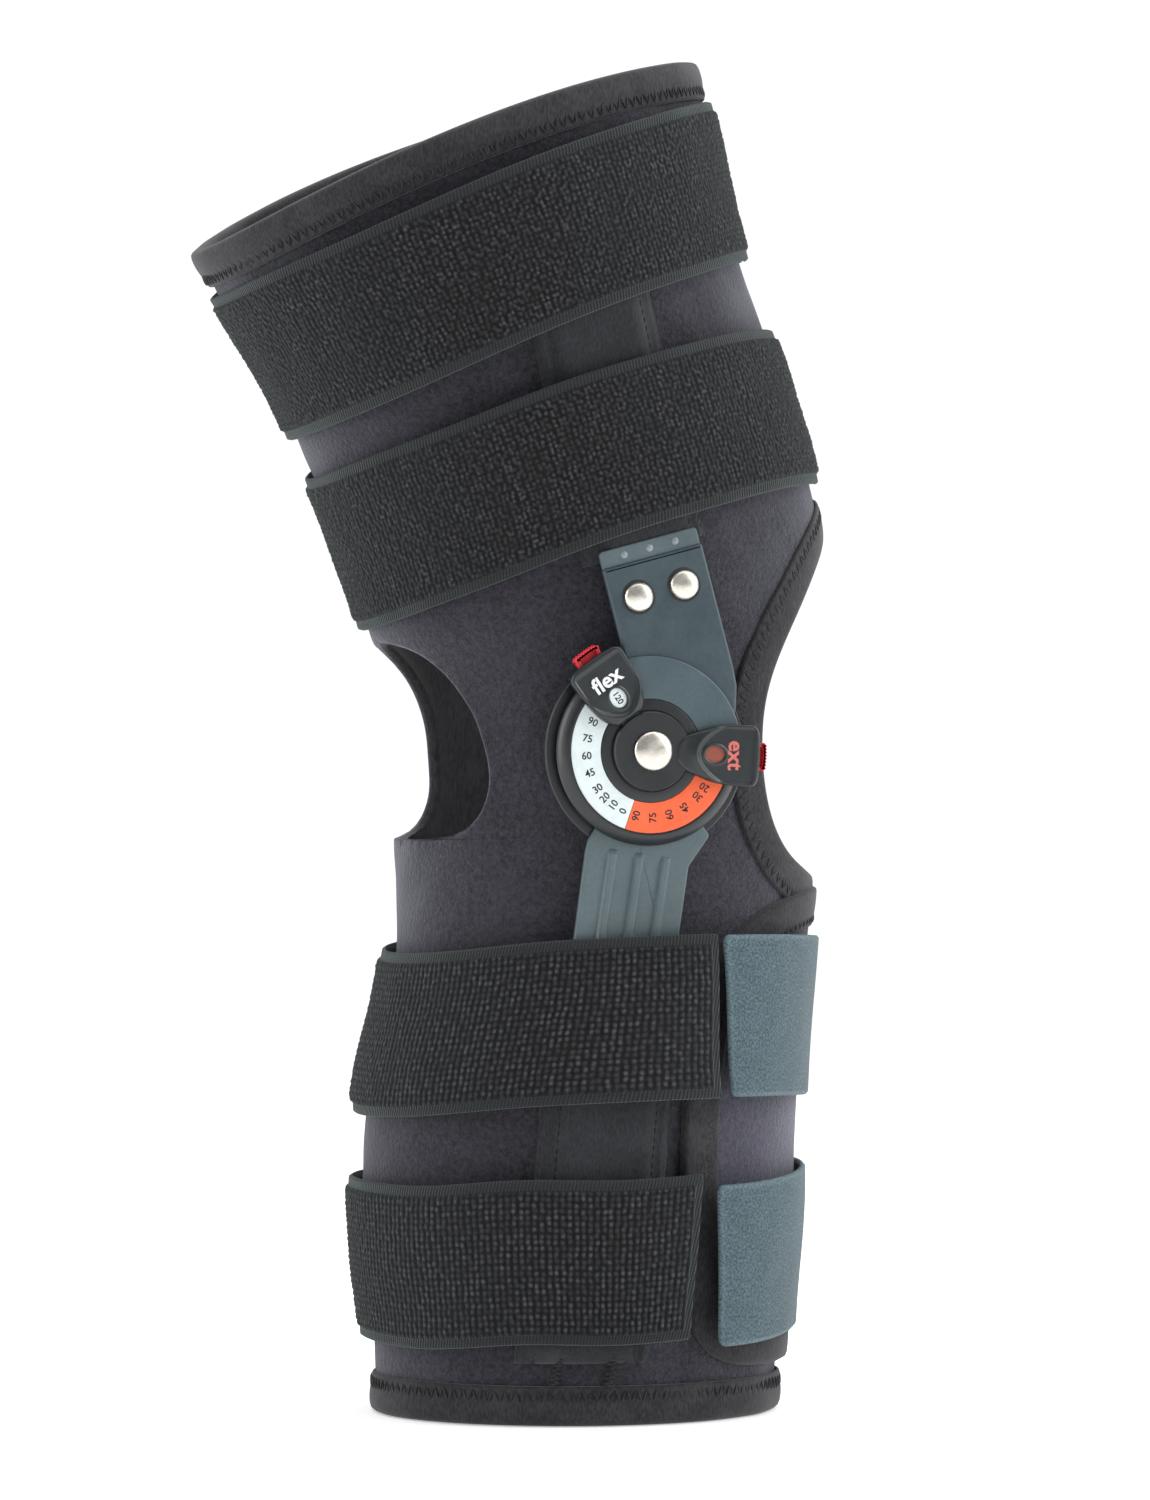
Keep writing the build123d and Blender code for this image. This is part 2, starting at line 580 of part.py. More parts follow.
def button_spring(angle):
    """Two flat leaves bent to a V behind the button."""
    foot, top = BUTTON_POCKET_R + 0.05, BUTTON_SPAN[0] - 0.05
    with BuildPart() as spring:
        with BuildSketch(dial_plane(angle, SPRING_LEVEL)):
            with BuildLine():
                Polyline((foot, -3), (foot + 0.3, -3), (top, 0), (foot + 0.3, 3), (foot, 3), (top - 0.4, 0),
                         close=True)
            make_face()
        extrude(amount=SPRING_DEPTH)
    return spring.part


for name, angle, eye, tip_level in (("flexion", FLEXION_ANGLE, FLEXION_EYE, None),
                                    ("extension", EXTENSION_ANGLE, EXTENSION_EYE, KNOB_LEVEL[1])):
    export_pair(stop_knob(angle, eye, tip_level), f"{name}_knob")
    export_pair(release_button(angle), f"{name}_button")
    export_pair(button_spring(angle), f"{name}_button_spring")
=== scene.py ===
"""Looks of a hinged knee brace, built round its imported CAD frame. Metres, in the CAD's axes:
+X to the front of the leg, -Y to the lateral side (towards the camera), +Z up, origin on the hinge axis."""
import math

import bmesh
import bpy
import numpy as np
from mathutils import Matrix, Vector


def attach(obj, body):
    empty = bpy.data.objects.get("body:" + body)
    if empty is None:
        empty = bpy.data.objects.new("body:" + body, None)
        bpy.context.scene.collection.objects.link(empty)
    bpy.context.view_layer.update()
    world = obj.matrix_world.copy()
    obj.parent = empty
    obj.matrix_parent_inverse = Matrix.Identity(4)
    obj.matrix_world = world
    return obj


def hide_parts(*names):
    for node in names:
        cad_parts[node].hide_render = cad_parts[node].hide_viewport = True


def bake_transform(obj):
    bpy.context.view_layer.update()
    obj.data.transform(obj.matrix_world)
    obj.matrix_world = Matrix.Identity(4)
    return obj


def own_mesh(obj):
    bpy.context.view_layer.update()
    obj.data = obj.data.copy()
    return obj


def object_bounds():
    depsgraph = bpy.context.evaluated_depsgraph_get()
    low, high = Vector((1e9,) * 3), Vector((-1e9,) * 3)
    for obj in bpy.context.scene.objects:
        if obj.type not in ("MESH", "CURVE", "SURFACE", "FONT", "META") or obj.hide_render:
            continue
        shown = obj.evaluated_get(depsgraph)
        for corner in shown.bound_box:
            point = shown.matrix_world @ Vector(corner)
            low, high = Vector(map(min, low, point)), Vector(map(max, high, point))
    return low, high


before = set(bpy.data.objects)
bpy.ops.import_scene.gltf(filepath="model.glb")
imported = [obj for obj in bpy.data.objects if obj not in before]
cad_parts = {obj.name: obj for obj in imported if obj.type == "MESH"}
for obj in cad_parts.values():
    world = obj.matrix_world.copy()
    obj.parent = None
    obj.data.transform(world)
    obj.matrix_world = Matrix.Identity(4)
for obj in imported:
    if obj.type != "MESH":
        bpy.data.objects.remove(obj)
cad_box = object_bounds()

MM = 0.001
PI = math.pi
THREAD_SIDES = 5
LATERAL, MEDIAL = -1, 1
SIDE_NAMES = {LATERAL: "lateral", MEDIAL: "medial"}

# ---------------------------------------------------------------- driving dimensions, as in the CAD (mm)
LEG = [  # from the bottom hem up: centre x, centre z, lean, half depth, half width
    (-6.0, -207.0, 2.0, 62.5, 55.0),
    (-5.2, -182.0, 2.0, 63.0, 56.4),
    (-5.5, -135.0, 2.0, 66.5, 57.4),
    (-4.8, -110.0, 2.0, 66.5, 57.6),
    (1.5, -62.0, 2.0, 63.5, 57.8),
    (4.0, -25.0, 3.0, 66.0, 57.6),
    (6.0, 22.0, 8.0, 67.0, 57.2),
    (-1.1, 59.1, 16.5, 73.0, 59.2),
    (-23.7, 123.5, 20.5, 74.0, 67.6),
    (-42.5, 168.9, 20.5, 80.6, 73.8),
    (-53.9, 197.7, 20.5, 85.5, 77.8),
]
NEOPRENE = 4.2
HEM_WIDTH = 11.0
SHIN_LEAN = 2.0
TOP_HEM, TOP_LEAN = (186.3, 7.6), 21.3      # height up the thigh's axis at the front, rise at the side
BOTTOM_HEM = -202.3                         # height of the lower edge
ARM_ANGLE, ARM_MIDDLE = 15.0, 16.0
STAY_FLARE, STAY_START, STAY_OUT = 0.121, 61.5, 62.6
LOWER_ANGLE, LOWER_MIDDLE = 261.6, 2.0
STAY_BEND, STAY_LEAN, STAY_TUCK = -62.0, 5.0, 0.029
BEND_X = STAY_BEND * math.tan(math.radians(270 - LOWER_ANGLE)) + LOWER_MIDDLE
LOWER_OUT = 62.4
STAY_HALF = 10.5
UPPER_COVER = (54, 62), (174, 182)          # where a cover climbs on to a stay, and where it drops off it
LOWER_COVER = (-186, -179), (-56, -50)
# side views of the openings, from the upper end of each edge to the lower one
PATELLA_EDGE = [(100, 82), (76, 71), (55, 45), (41, 17), (39.5, -3), (50, -31), (64, -39), (100, -46)]
POPLITEAL_EDGE = [(-100, 36), (-60, 28), (-50, 16), (-44.5, -1), (-44, -12), (-49, -23), (-62, -27.5),
                  (-80, -29)]
FLAP_EDGE = [(100, -43), (48, -46), (24, -62), (15, -90), (13, -150), (20, -180), (60, -187), (100, -187)]


# ---------------------------------------------------------------- the leg as a surface
def smooth_through(knots, values, at):
    """Monotone cubic through the knots, for one column of values."""
    knots, values = np.asarray(knots, float), np.asarray(values, float)
    step = np.diff(knots)
    slope = np.diff(values) / step
    tangent = np.empty_like(values)
    tangent[1:-1] = np.where(slope[:-1] * slope[1:] > 0,
                             2 * slope[:-1] * slope[1:] / (slope[:-1] + slope[1:] + 1e-12), 0)
    tangent[0], tangent[-1] = slope[0], slope[-1]
    at = np.clip(at, knots[0], knots[-1])
    i = np.clip(np.searchsorted(knots, at, side="right") - 1, 0, len(step) - 1)
    u = (at - knots[i]) / step[i]
    return ((1 + 2 * u) * (1 - u) ** 2 * values[i] + u * (1 - u) ** 2 * step[i] * tangent[i]
            + u * u * (3 - 2 * u) * values[i + 1] + u * u * (u - 1) * step[i] * tangent[i + 1])


STATIONS = np.array(LEG)
KNOTS = np.concatenate([[0], np.cumsum(np.hypot(np.diff(STATIONS[:, 0]), np.diff(STATIONS[:, 1])))])


def section(t):
    """Centre x, centre z, lean in radians, half depth and half width at a place up the centre line."""
    x, z, lean, deep, wide = (smooth_through(KNOTS, column, t) for column in STATIONS.T)
    return x, z, np.radians(lean), deep, wide


def leg(t, angle, lift=0.0):
    """Point on the leg in mm: t up the centre line, angle from the front towards medial, lift outward."""
    x, z, lean, deep, wide = section(t)
    forward = (deep + lift) * np.cos(angle)
    return np.stack([x + forward * np.cos(lean), (wide + lift) * np.sin(angle),
                     z + forward * np.sin(lean)], -1)


def bisect(low, high, test, rounds=36):
    """Places between low and high where the test turns from true to false."""
    for _ in range(rounds):
        middle = (low + high) / 2
        yes = test(middle)
        low, high = np.where(yes, middle, low), np.where(yes, high, middle)
    return (low + high) / 2


def climb(target, lean, angle):
    """The t where the leg's surface has this height along an axis leaning back by lean degrees."""
    angle, target = np.broadcast_arrays(np.asarray(angle, float), np.asarray(target, float))
    a = math.radians(lean)

    def under(t):
        p = leg(t, angle)
        return p[..., 2] * math.cos(a) - p[..., 0] * math.sin(a) < target
    return bisect(np.full(angle.shape, KNOTS[0] - 8), np.full(angle.shape, KNOTS[-1] + 8), under)


def from_centre(x, z, t):
    """Side view points measured from the centre line at t: forward, up, and the section's half sizes."""
    cx, cz, lean, deep, wide = section(t)
    forward = (x - cx) * np.cos(lean) + (z - cz) * np.sin(lean)
    return forward, (z - cz) * np.cos(lean) - (x - cx) * np.sin(lean), deep, wide


def level_of(x, z):
    """The t whose section holds each side view point."""
    ends = (np.full(x.shape, end) for end in (KNOTS[0], KNOTS[-1]))
    return bisect(*ends, lambda t: from_centre(x, z, t)[1] > 0)


def place(p):
    """The t and angle of points near the leg's surface."""
    x, y, z = p[..., 0], p[..., 1], p[..., 2]
    t = level_of(x, z)
    forward, _, deep, wide = from_centre(x, z, t)
    return t, np.arctan2(y / wide, forward / deep)


def run_length(points):
    """Distance along a line at each of its points."""
    return np.concatenate([[0], np.cumsum(np.linalg.norm(np.diff(points, axis=0), axis=1))])


def spline(points, count=240):
    """Natural cubic through points, by chord length."""
    points = np.asarray(points, float)
    s = run_length(points)
    n, h = len(s), np.diff(s)
    system, right = np.eye(n), np.zeros(points.shape)
    for i in range(1, n - 1):
        system[i, i - 1:i + 2] = h[i - 1], 2 * (h[i - 1] + h[i]), h[i]
        right[i] = 6 * ((points[i + 1] - points[i]) / h[i] - (points[i] - points[i - 1]) / h[i - 1])
    curl = np.linalg.solve(system, right)
    at = np.linspace(0, s[-1], count)
    i = np.clip(np.searchsorted(s, at, side="right") - 1, 0, n - 2)
    a, b = (s[i + 1] - at)[:, None], (at - s[i])[:, None]
    step = h[i][:, None]
    return ((curl[i] * a ** 3 + curl[i + 1] * b ** 3) / (6 * step)
            + (points[i] / step - curl[i] * step / 6) * a
            + (points[i + 1] / step - curl[i + 1] * step / 6) * b)


def spaced(points, gap):
    """The same open line with points at even gaps."""
    s = run_length(points)
    at = np.linspace(0, s[-1], max(2, int(round(s[-1] / gap)) + 1))
    return np.stack([np.interp(at, s, column) for column in points.T], -1)


def edge_on_leg(side_view, gap=1.6):
    """Where a curved edge seen from the side lies on the leg's lateral half: t and angle down the edge."""
    x, z = spline(side_view).T
    t = level_of(x, z)
    forward, _, deep, _ = from_centre(x, z, t)
    ratio = forward / deep
    angle = np.arccos(np.clip(ratio, -1, 1))
    hit = np.flatnonzero(np.abs(ratio) < 1)
    first, last = hit[0] - 1, hit[-1] + 2        # with the two ends, which lie on the middle plane
    t, angle = t[first:last], angle[first:last]
    fine_t, fine_a = (np.interp(np.linspace(0, len(t) - 1, 2400), np.arange(len(t)), v) for v in (t, angle))
    s = run_length(leg(fine_t, fine_a))
    at = np.linspace(0, s[-1], int(s[-1] / gap) + 1)
    return np.interp(at, s, fine_t), np.interp(at, s, fine_a)


def arched(low, rise, angle):
    return low + rise * np.sin(angle) ** 2


def wobble(p, seed, scale):
    """Slow smooth noise, about -1 to 1, from a few fixed waves."""
    rng = np.random.default_rng(seed)
    total = 0
    for _ in range(6):
        direction = rng.normal(size=3)
        direction /= np.linalg.norm(direction)
        total = total + np.sin(p @ direction * (2 * PI / scale) * rng.uniform(0.6, 1.5)
                               + rng.uniform(0, 2 * PI))
    return total / 3.2


def smoothstep(low, high, v):
    u = np.clip((v - low) / (high - low), 0, 1)
    return u * u * (3 - 2 * u)


def over_stays(p, clear):
    """Pushes points of a soft layer outward where a stay lies under it."""
    x, y, z = p[..., 0], np.abs(p[..., 1]), p[..., 2]
    a = math.radians(ARM_ANGLE)
    along = z * math.cos(a) - x * math.sin(a)
    upper = x * math.cos(a) + z * math.sin(a) - ARM_MIDDLE
    lower = x - BEND_X - (z - STAY_BEND) * math.sin(math.radians(STAY_LEAN))
    for across, run, (start, end), height in (
            (upper, along, UPPER_COVER, STAY_OUT + np.maximum(along - STAY_START, 0) * STAY_FLARE + clear),
            (lower, z, LOWER_COVER, LOWER_OUT - np.maximum(STAY_BEND - z, 0) * STAY_TUCK + clear)):
        near = 1 - smoothstep(STAY_HALF, STAY_HALF + 9.0, np.abs(across))
        near = near * smoothstep(*start, run) * (1 - smoothstep(*end, run))
        y = y + near * np.maximum(height - y, 0)
    return np.stack([x, y * np.where(p[..., 1] < 0, -1, 1), z], -1)


# ---------------------------------------------------------------- meshes
def new_mesh(name, points_mm, faces, materials, smooth=True):
    mesh = bpy.data.meshes.new(name)
    mesh.from_pydata((np.asarray(points_mm, float) * MM).tolist(), [], faces)
    mesh.update()
    mesh.polygons.foreach_set("use_smooth", [smooth] * len(mesh.polygons))
    obj = bpy.data.objects.new(name, mesh)
    bpy.context.scene.collection.objects.link(obj)
    for m in materials if isinstance(materials, (list, tuple)) else [materials]:
        mesh.materials.append(m)
    return obj


def fit(piece, body, slot, *stands_for):
    """Ties a piece to its body and hides the CAD nodes that it takes the place of; slot is not used."""
    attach(piece, body)
    if stands_for:
        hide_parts(*stands_for)


def set_vectors(obj, name, values):
    """Stores a coordinate, in mm, on each point for the weave of a material to follow."""
    attribute = obj.data.attributes.new(name, "FLOAT_VECTOR", "POINT")
    attribute.data.foreach_set("vector", np.asarray(values, np.float32).ravel())


def set_values(obj, name, values):
    attribute = obj.data.attributes.new(name, "FLOAT", "POINT")
    attribute.data.foreach_set("value", np.asarray(values, np.float32).ravel())


def grid_faces(rows, columns, closed_rows=False, closed_columns=False, start=0):
    """Quads of a rows by columns grid of vertices."""
    r = np.arange(rows if closed_rows else rows - 1)
    c = np.arange(columns if closed_columns else columns - 1)
    r, c = np.meshgrid(r, c, indexing="ij")
    r2, c2 = (r + 1) % rows, (c + 1) % columns
    quads = np.stack([r * columns + c, r * columns + c2, r2 * columns + c2, r2 * columns + c], -1)
    return quads.reshape(-1, 4) + start


def border(faces):
    """Directed edges that only one face has."""
    edges = np.concatenate([faces[:, [i, (i + 1) % 4]] for i in range(4)])
    edges = edges[edges[:, 0] != edges[:, 1]]
    key = edges.min(1).astype(np.int64) * (faces.max() + 1) + edges.max(1)
    _, index, count = np.unique(key, return_index=True, return_counts=True)
    return edges[index[count == 1]]


def tidy_quads(faces):
    """Face lists with the repeated corners of collapsed quads left out."""
    result = []
    for q in faces.tolist():
        corners = [v for i, v in enumerate(q) if v != q[i - 1]]
        if len(set(corners)) == len(corners) and len(corners) > 2:
            result.append(corners)
    return result


def thick_sheet(name, outer, inner, faces, materials):
    """Closed solid between two surfaces that share their faces, with materials for face, lining and rim."""
    count = len(outer)
    edges = border(faces)
    skin, lining = tidy_quads(faces), [f[::-1] for f in tidy_quads(faces + count)]
    rim = [[b, a, a + count, b + count] for a, b in edges.tolist()]
    obj = new_mesh(name, np.concatenate([outer, inner]), skin + lining + rim, materials)
    obj.data.polygons.foreach_set(
        "material_index", [0] * len(skin) + [1] * len(lining) + [2] * len(rim))
    fix_normals(obj)
    return obj


def from_border(points, edges, reach):
    """Distance from each point to the nearest end of the border edges, no further than reach."""
    rim = points[np.unique(edges)]
    result = np.full(len(points), reach, float)
    for start in range(0, len(points), 4000):
        part = points[start:start + 4000]
        result[start:start + 4000] = np.minimum(
            reach, np.sqrt(((part[:, None] - rim[None]) ** 2).sum(-1).min(1)))
    return result


def round_off(distance, radius):
    """How far a rounded edge has dropped at a distance in from the edge."""
    left = np.clip(radius - distance, 0, radius)
    return radius - np.sqrt(radius ** 2 - left ** 2)


def merged(points, faces, marks, tolerance=0.02):
    """Joins vertices at the same place; marks are per vertex values that are carried along."""
    key = np.round(points / tolerance).astype(np.int64)
    _, index, inverse = np.unique(key, axis=0, return_index=True, return_inverse=True)
    return points[index], inverse.ravel()[faces], [m[index] for m in marks]


def skinned(name, rings, materials):
    """Closed solid from a stack of closed rings, capped at both ends."""
    count, around = rings.shape[:2]
    faces = grid_faces(count, around, closed_columns=True).tolist()
    faces.append(list(range(around))[::-1])
    faces.append([(count - 1) * around + i for i in range(around)])
    obj = new_mesh(name, rings.reshape(-1, 3), faces, materials)
    fix_normals(obj)
    return obj


def ring_solid(name, rows, materials):
    """Solid ring from a grid of points that closes both ways."""
    faces = grid_faces(*rows.shape[:2], closed_rows=True, closed_columns=True).tolist()
    obj = new_mesh(name, rows.reshape(-1, 3), faces, materials)
    fix_normals(obj)
    return obj


def fix_normals(obj):
    b = bmesh.new()
    b.from_mesh(obj.data)
    bmesh.ops.recalc_face_normals(b, faces=b.faces)
    b.to_mesh(obj.data)
    b.free()


def sharpen(obj, degrees=40):
    obj.data.set_sharp_from_angle(angle=math.radians(degrees))
    return obj


def join(objects, name):
    """One object from several meshes."""
    b = bmesh.new()
    materials = []
    for o in objects:
        for m in o.data.materials:
            if m not in materials:
                materials.append(m)
    for o in objects:
        start = len(b.faces)
        places = [materials.index(m) for m in o.data.materials]
        b.from_mesh(o.data)
        b.faces.ensure_lookup_table()
        for f in b.faces[start:]:
            f.material_index = places[f.material_index]
    mesh = bpy.data.meshes.new(name)
    b.to_mesh(mesh)
    b.free()
    for m in materials:
        mesh.materials.append(m)
    for o in objects:
        bpy.data.objects.remove(o)
    obj = bpy.data.objects.new(name, mesh)
    bpy.context.scene.collection.objects.link(obj)
    return obj


def sideways(line, up, closed):
    """Unit directions to the side of a line of points."""
    tangent = np.roll(line, -1, 0) - np.roll(line, 1, 0) if closed else np.gradient(line, axis=0)
    tangent /= np.linalg.norm(tangent, axis=-1, keepdims=True) + 1e-12
    side = np.cross(up, tangent)
    return side / (np.linalg.norm(side, axis=-1, keepdims=True) + 1e-12)


def tube(name, line, up, radius, material, closed=False):
    """Round thread along a line."""
    side = sideways(line, up, closed)
    turn = np.arange(THREAD_SIDES) * 2 * PI / THREAD_SIDES
    rings = (line[:, None] + side[:, None] * (radius * np.cos(turn))[None, :, None]
             + up[:, None] * (radius * np.sin(turn))[None, :, None])
    return (ring_solid if closed else skinned)(name, rings, material)


def zigzag(name, line, up, width, pitch, radius, material, closed=True):
    """Zigzag stitches: one thread that runs to and fro across the line and dips at each end of its swing."""
    def wrap(v):
        return np.concatenate([v, v[:1]]) if closed else v
    s = run_length(wrap(line))
    turns, steps = int(round(s[-1] / pitch)), 8
    at = np.linspace(0, s[-1], turns * steps + (0 if closed else 1), endpoint=not closed)
    frame_at = (line, sideways(line, up, closed), up)
    middle, side, out = (np.stack([np.interp(at, s, c) for c in wrap(v).T], -1) for v in frame_at)
    phase = np.arange(len(at)) / steps * 2 * PI
    swing = np.clip(np.arcsin(np.sin(phase)) / (PI / 2) * 1.15, -1, 1)[:, None]
    dip = (np.abs(swing) ** 6) * radius * 1.1
    return tube(name, middle + side * swing * width / 2 - out * dip, out, radius, material, closed)


# ---------------------------------------------------------------- materials
def shader(name):
    """A new material: its node tree and its Principled shader."""
    m = bpy.data.materials.new(name)
    m.use_nodes = True
    return m, m.node_tree, m.node_tree.nodes["Principled BSDF"]


def node(tree, kind, settings=None, **inputs):
    """Adds a node. An input is a socket to link or a value; its name has _ for spaces."""
    n = tree.nodes.new(kind)
    for key, value in (settings or {}).items():
        setattr(n, key, value)
    for key, value in inputs.items():
        where = int(key[1:]) if key[0] == "i" and key[1:].isdigit() else key.replace("_", " ")
        socket = n.inputs[where]
        if isinstance(value, bpy.types.NodeSocket):
            tree.links.new(value, socket)
        else:
            socket.default_value = value
    return n


def ramp(tree, factor, stops):
    n = node(tree, "ShaderNodeValToRGB", Fac=factor)
    elements = n.color_ramp.elements
    while len(elements) < len(stops):
        elements.new(0.5)
    for element, (at, colour) in zip(elements, stops):
        element.position = at
        element.color = (*colour, 1)
    return n.outputs["Color"]


def noise(tree, vector, scale, detail=3.0, roughness=0.6):
    return node(tree, "ShaderNodeTexNoise", Vector=vector, Scale=scale, Detail=detail,
                Roughness=roughness).outputs["Fac"]


def maths(tree, operation, a, b=0.0):
    n = node(tree, "ShaderNodeMath", {"operation": operation}, i0=a, i1=b)
    return n.outputs[0]


def bump(tree, heights):
    """Chained bumps from (height, distance in metres, strength)."""
    normal = None
    for height, distance, strength in heights:
        n = node(tree, "ShaderNodeBump", Height=height, Distance=distance, Strength=strength)
        if normal is not None:
            tree.links.new(normal, n.inputs["Normal"])
        normal = n.outputs["Normal"]
    return normal


def object_space(tree):
    return node(tree, "ShaderNodeTexCoord").outputs["Object"]


def attribute(tree, name, output):
    return node(tree, "ShaderNodeAttribute", {"attribute_name": name}).outputs[output]


def mixed(tree, *shares):
    """Sum of values, each times its share."""
    total = None
    for value, share in shares:
        part = maths(tree, "MULTIPLY", value, share)
        total = part if total is None else maths(tree, "ADD", total, part)
    return total


def wave(tree, phase):
    """A sine from 0 to 1."""
    return maths(tree, "ADD", maths(tree, "MULTIPLY", maths(tree, "SINE", phase), 0.5), 0.5)


def finish_shader(tree, bsdf, colour, roughness, normal, sheen=0.0, sheen_tint=(1, 1, 1), specular=0.5,
                  metallic=0.0):
    tree.links.new(colour, bsdf.inputs["Base Color"])
    if isinstance(roughness, bpy.types.NodeSocket):
        tree.links.new(roughness, bsdf.inputs["Roughness"])
    else:
        bsdf.inputs["Roughness"].default_value = roughness
    tree.links.new(normal, bsdf.inputs["Normal"])
    for socket, value in (("Sheen Weight", sheen), ("Sheen Roughness", 0.45),
                          ("Sheen Tint", (*sheen_tint, 1)),
                          ("Specular IOR Level", specular), ("Metallic", metallic)):
        bsdf.inputs[socket].default_value = value


def fleece_material(name, dark, light, sheen):
    """Brushed pile on foam: matted fibres in small clumps."""
    m, tree, bsdf = shader(name)
    at = object_space(tree)
    fibre = noise(tree, at, 1500.0, 4.0, 0.7)
    clump = noise(tree, at, 640.0, 3.0, 0.65)
    cloud = noise(tree, at, 40.0, 2.0, 0.5)
    mix = mixed(tree, (fibre, 0.40), (clump, 0.48), (cloud, 0.12))
    middle = [(a + b) / 2 for a, b in zip(dark, light)]
    colour = ramp(tree, mix, [(0.38, dark), (0.5, middle), (0.62, light)])
    normal = bump(tree, [(clump, 0.0006, 0.6), (fibre, 0.00035, 0.7)])
    finish_shader(tree, bsdf, colour, 0.95, normal, sheen=sheen, sheen_tint=(0.88, 0.89, 1.0), specular=0.15)
    return m


def knit_material(name, dark, light, scale, depth):
    """Fine smooth knit, seen as tiny rows of stitches."""
    m, tree, bsdf = shader(name)
    at = object_space(tree)
    grain = noise(tree, at, scale, 2.0, 0.5)
    soft = noise(tree, at, scale / 14, 2.0, 0.5)
    squeezed = node(tree, "ShaderNodeMapping", Vector=at, Scale=(1.0, 1.0, 0.35)).outputs[0]
    rows = noise(tree, squeezed, scale * 1.2, 1.0, 0.4)
    colour = ramp(tree, mixed(tree, (rows, 0.6), (soft, 0.4)), [(0.36, dark), (0.64, light)])
    normal = bump(tree, [(grain, depth, 0.5), (rows, depth, 0.4)])
    finish_shader(tree, bsdf, colour, 0.85, normal, sheen=0.15, specular=0.25)
    return m


def pile_material():
    """Terry loops on a woven band: colour painted by loop height, a painted highlight on the loops' tips and
    painted shade on the near black ground between.
    """
    m, tree, bsdf = shader("strap_pile")
    weave, tip = attribute(tree, "weave", "Vector"), attribute(tree, "tip", "Fac")
    yarn = noise(tree, weave, 2.6, 4.0, 0.7)
    fine = noise(tree, weave, 7.0, 2.0, 0.6)
    lit = mixed(tree, (tip, 0.8), (yarn, 0.36))
    # painted highlight and painted shade: the higher a loop, the lighter its colour
    colour = ramp(tree, lit, [(0.18, (0.0028, 0.0028, 0.0034)), (0.5, (0.009, 0.009, 0.0105)),
                              (0.72, (0.025, 0.025, 0.029)), (0.98, (0.078, 0.078, 0.087))])
    normal = bump(tree, [(yarn, 0.0005, 0.7), (fine, 0.0002, 0.5)])
    finish_shader(tree, bsdf, colour, 0.85, normal, sheen=0.1, sheen_tint=(0.8, 1, 0.95), specular=0.3)
    return m


def selvedge_material():
    """Flat edge of a strap: fine slanted overlock ribs."""
    m, tree, bsdf = shader("strap_selvedge")
    weave = attribute(tree, "weave", "Vector")
    x, y, _ = node(tree, "ShaderNodeSeparateXYZ", Vector=weave).outputs
    rib = wave(tree, mixed(tree, (x, 2 * PI / 1.05), (y, 1.1)))
    cord = wave(tree, maths(tree, "MULTIPLY", y, 2 * PI / 0.95))
    fuzz = noise(tree, weave, 2.2, 4.0, 0.7)
    colour = ramp(tree, mixed(tree, (rib, 0.35), (fuzz, 0.6)),
                  [(0.22, (0.007, 0.008, 0.009)), (0.55, (0.017, 0.0185, 0.020)),
                              (0.85, (0.034, 0.0365, 0.039))])
    normal = bump(tree, [(rib, 0.0003, 0.6), (cord, 0.0002, 0.3), (fuzz, 0.0002, 0.5)])
    finish_shader(tree, bsdf, colour, 0.82, normal, sheen=0.2, sheen_tint=(0.8, 1, 0.95), specular=0.25)
    return m


def hook_material():
    """Back of a hook tab: tight teal grey twill with a paler pressed rim."""
    m, tree, bsdf = shader("hook_tape")
    weave, rim = attribute(tree, "weave", "Vector"), attribute(tree, "tip", "Fac")
    x, y, _ = node(tree, "ShaderNodeSeparateXYZ", Vector=weave).outputs
    slant = maths(tree, "ADD", x, maths(tree, "MULTIPLY", y, 0.8))
    twill = wave(tree, maths(tree, "MULTIPLY", slant, 2 * PI / 0.85))
    fleck = noise(tree, weave, 1.25, 2.0, 0.6)
    cloud = noise(tree, weave, 0.12, 2.0, 0.5)
    mix = mixed(tree, (fleck, 1.05), (twill, 0.12), (cloud, 0.14), (rim, 0.14))
    colour = ramp(tree, maths(tree, "SUBTRACT", mix, 0.185),
                  [(0.32, (0.022, 0.042, 0.051)), (0.5, (0.056, 0.094, 0.111)),
                              (0.70, (0.112, 0.168, 0.190))])
    normal = bump(tree, [(twill, 0.00022, 0.5), (fleck, 0.0002, 0.6)])
    finish_shader(tree, bsdf, colour, 0.7, normal, sheen=0.12, specular=0.3)
    return m


def painted_material(name, dark, light, roughness=0.42, worn=0.1):
    """Powder coated metal or moulded plastic: fine orange peel and a few rubbed places."""
    m, tree, bsdf = shader(name)
    at = object_space(tree)
    peel = noise(tree, at, 1800.0, 3.0, 0.6)
    smear = noise(tree, at, 60.0, 4.0, 0.7)
    fleck = noise(tree, at, 900.0, 2.0, 0.5)
    colour = ramp(tree, mixed(tree, (smear, 0.6), (fleck, 0.4)), [(0.35, dark), (0.65, light)])
    rough = node(tree, "ShaderNodeMapRange", Value=smear, i1=0.3, i2=0.7, i3=roughness - worn,
                 i4=roughness + worn).outputs[0]
    finish_shader(tree, bsdf, colour, rough, bump(tree, [(peel, 0.00006, 0.5)]))
    return m


def metal_material(name, dark, light, roughness):
    m, tree, bsdf = shader(name)
    at = object_space(tree)
    haze = noise(tree, at, 220.0, 4.0, 0.7)
    drawn = node(tree, "ShaderNodeMapping", Vector=at, Scale=(1.0, 1.0, 0.06)).outputs[0]
    scratch = noise(tree, drawn, 2600.0)
    colour = ramp(tree, haze, [(0.35, dark), (0.65, light)])
    rough = node(tree, "ShaderNodeMapRange", Value=haze, i1=0.3, i2=0.7, i3=roughness * 0.8,
                 i4=roughness * 1.4).outputs[0]
    finish_shader(tree, bsdf, colour, rough, bump(tree, [(scratch, 0.00001, 0.3)]), metallic=1.0)
    return m


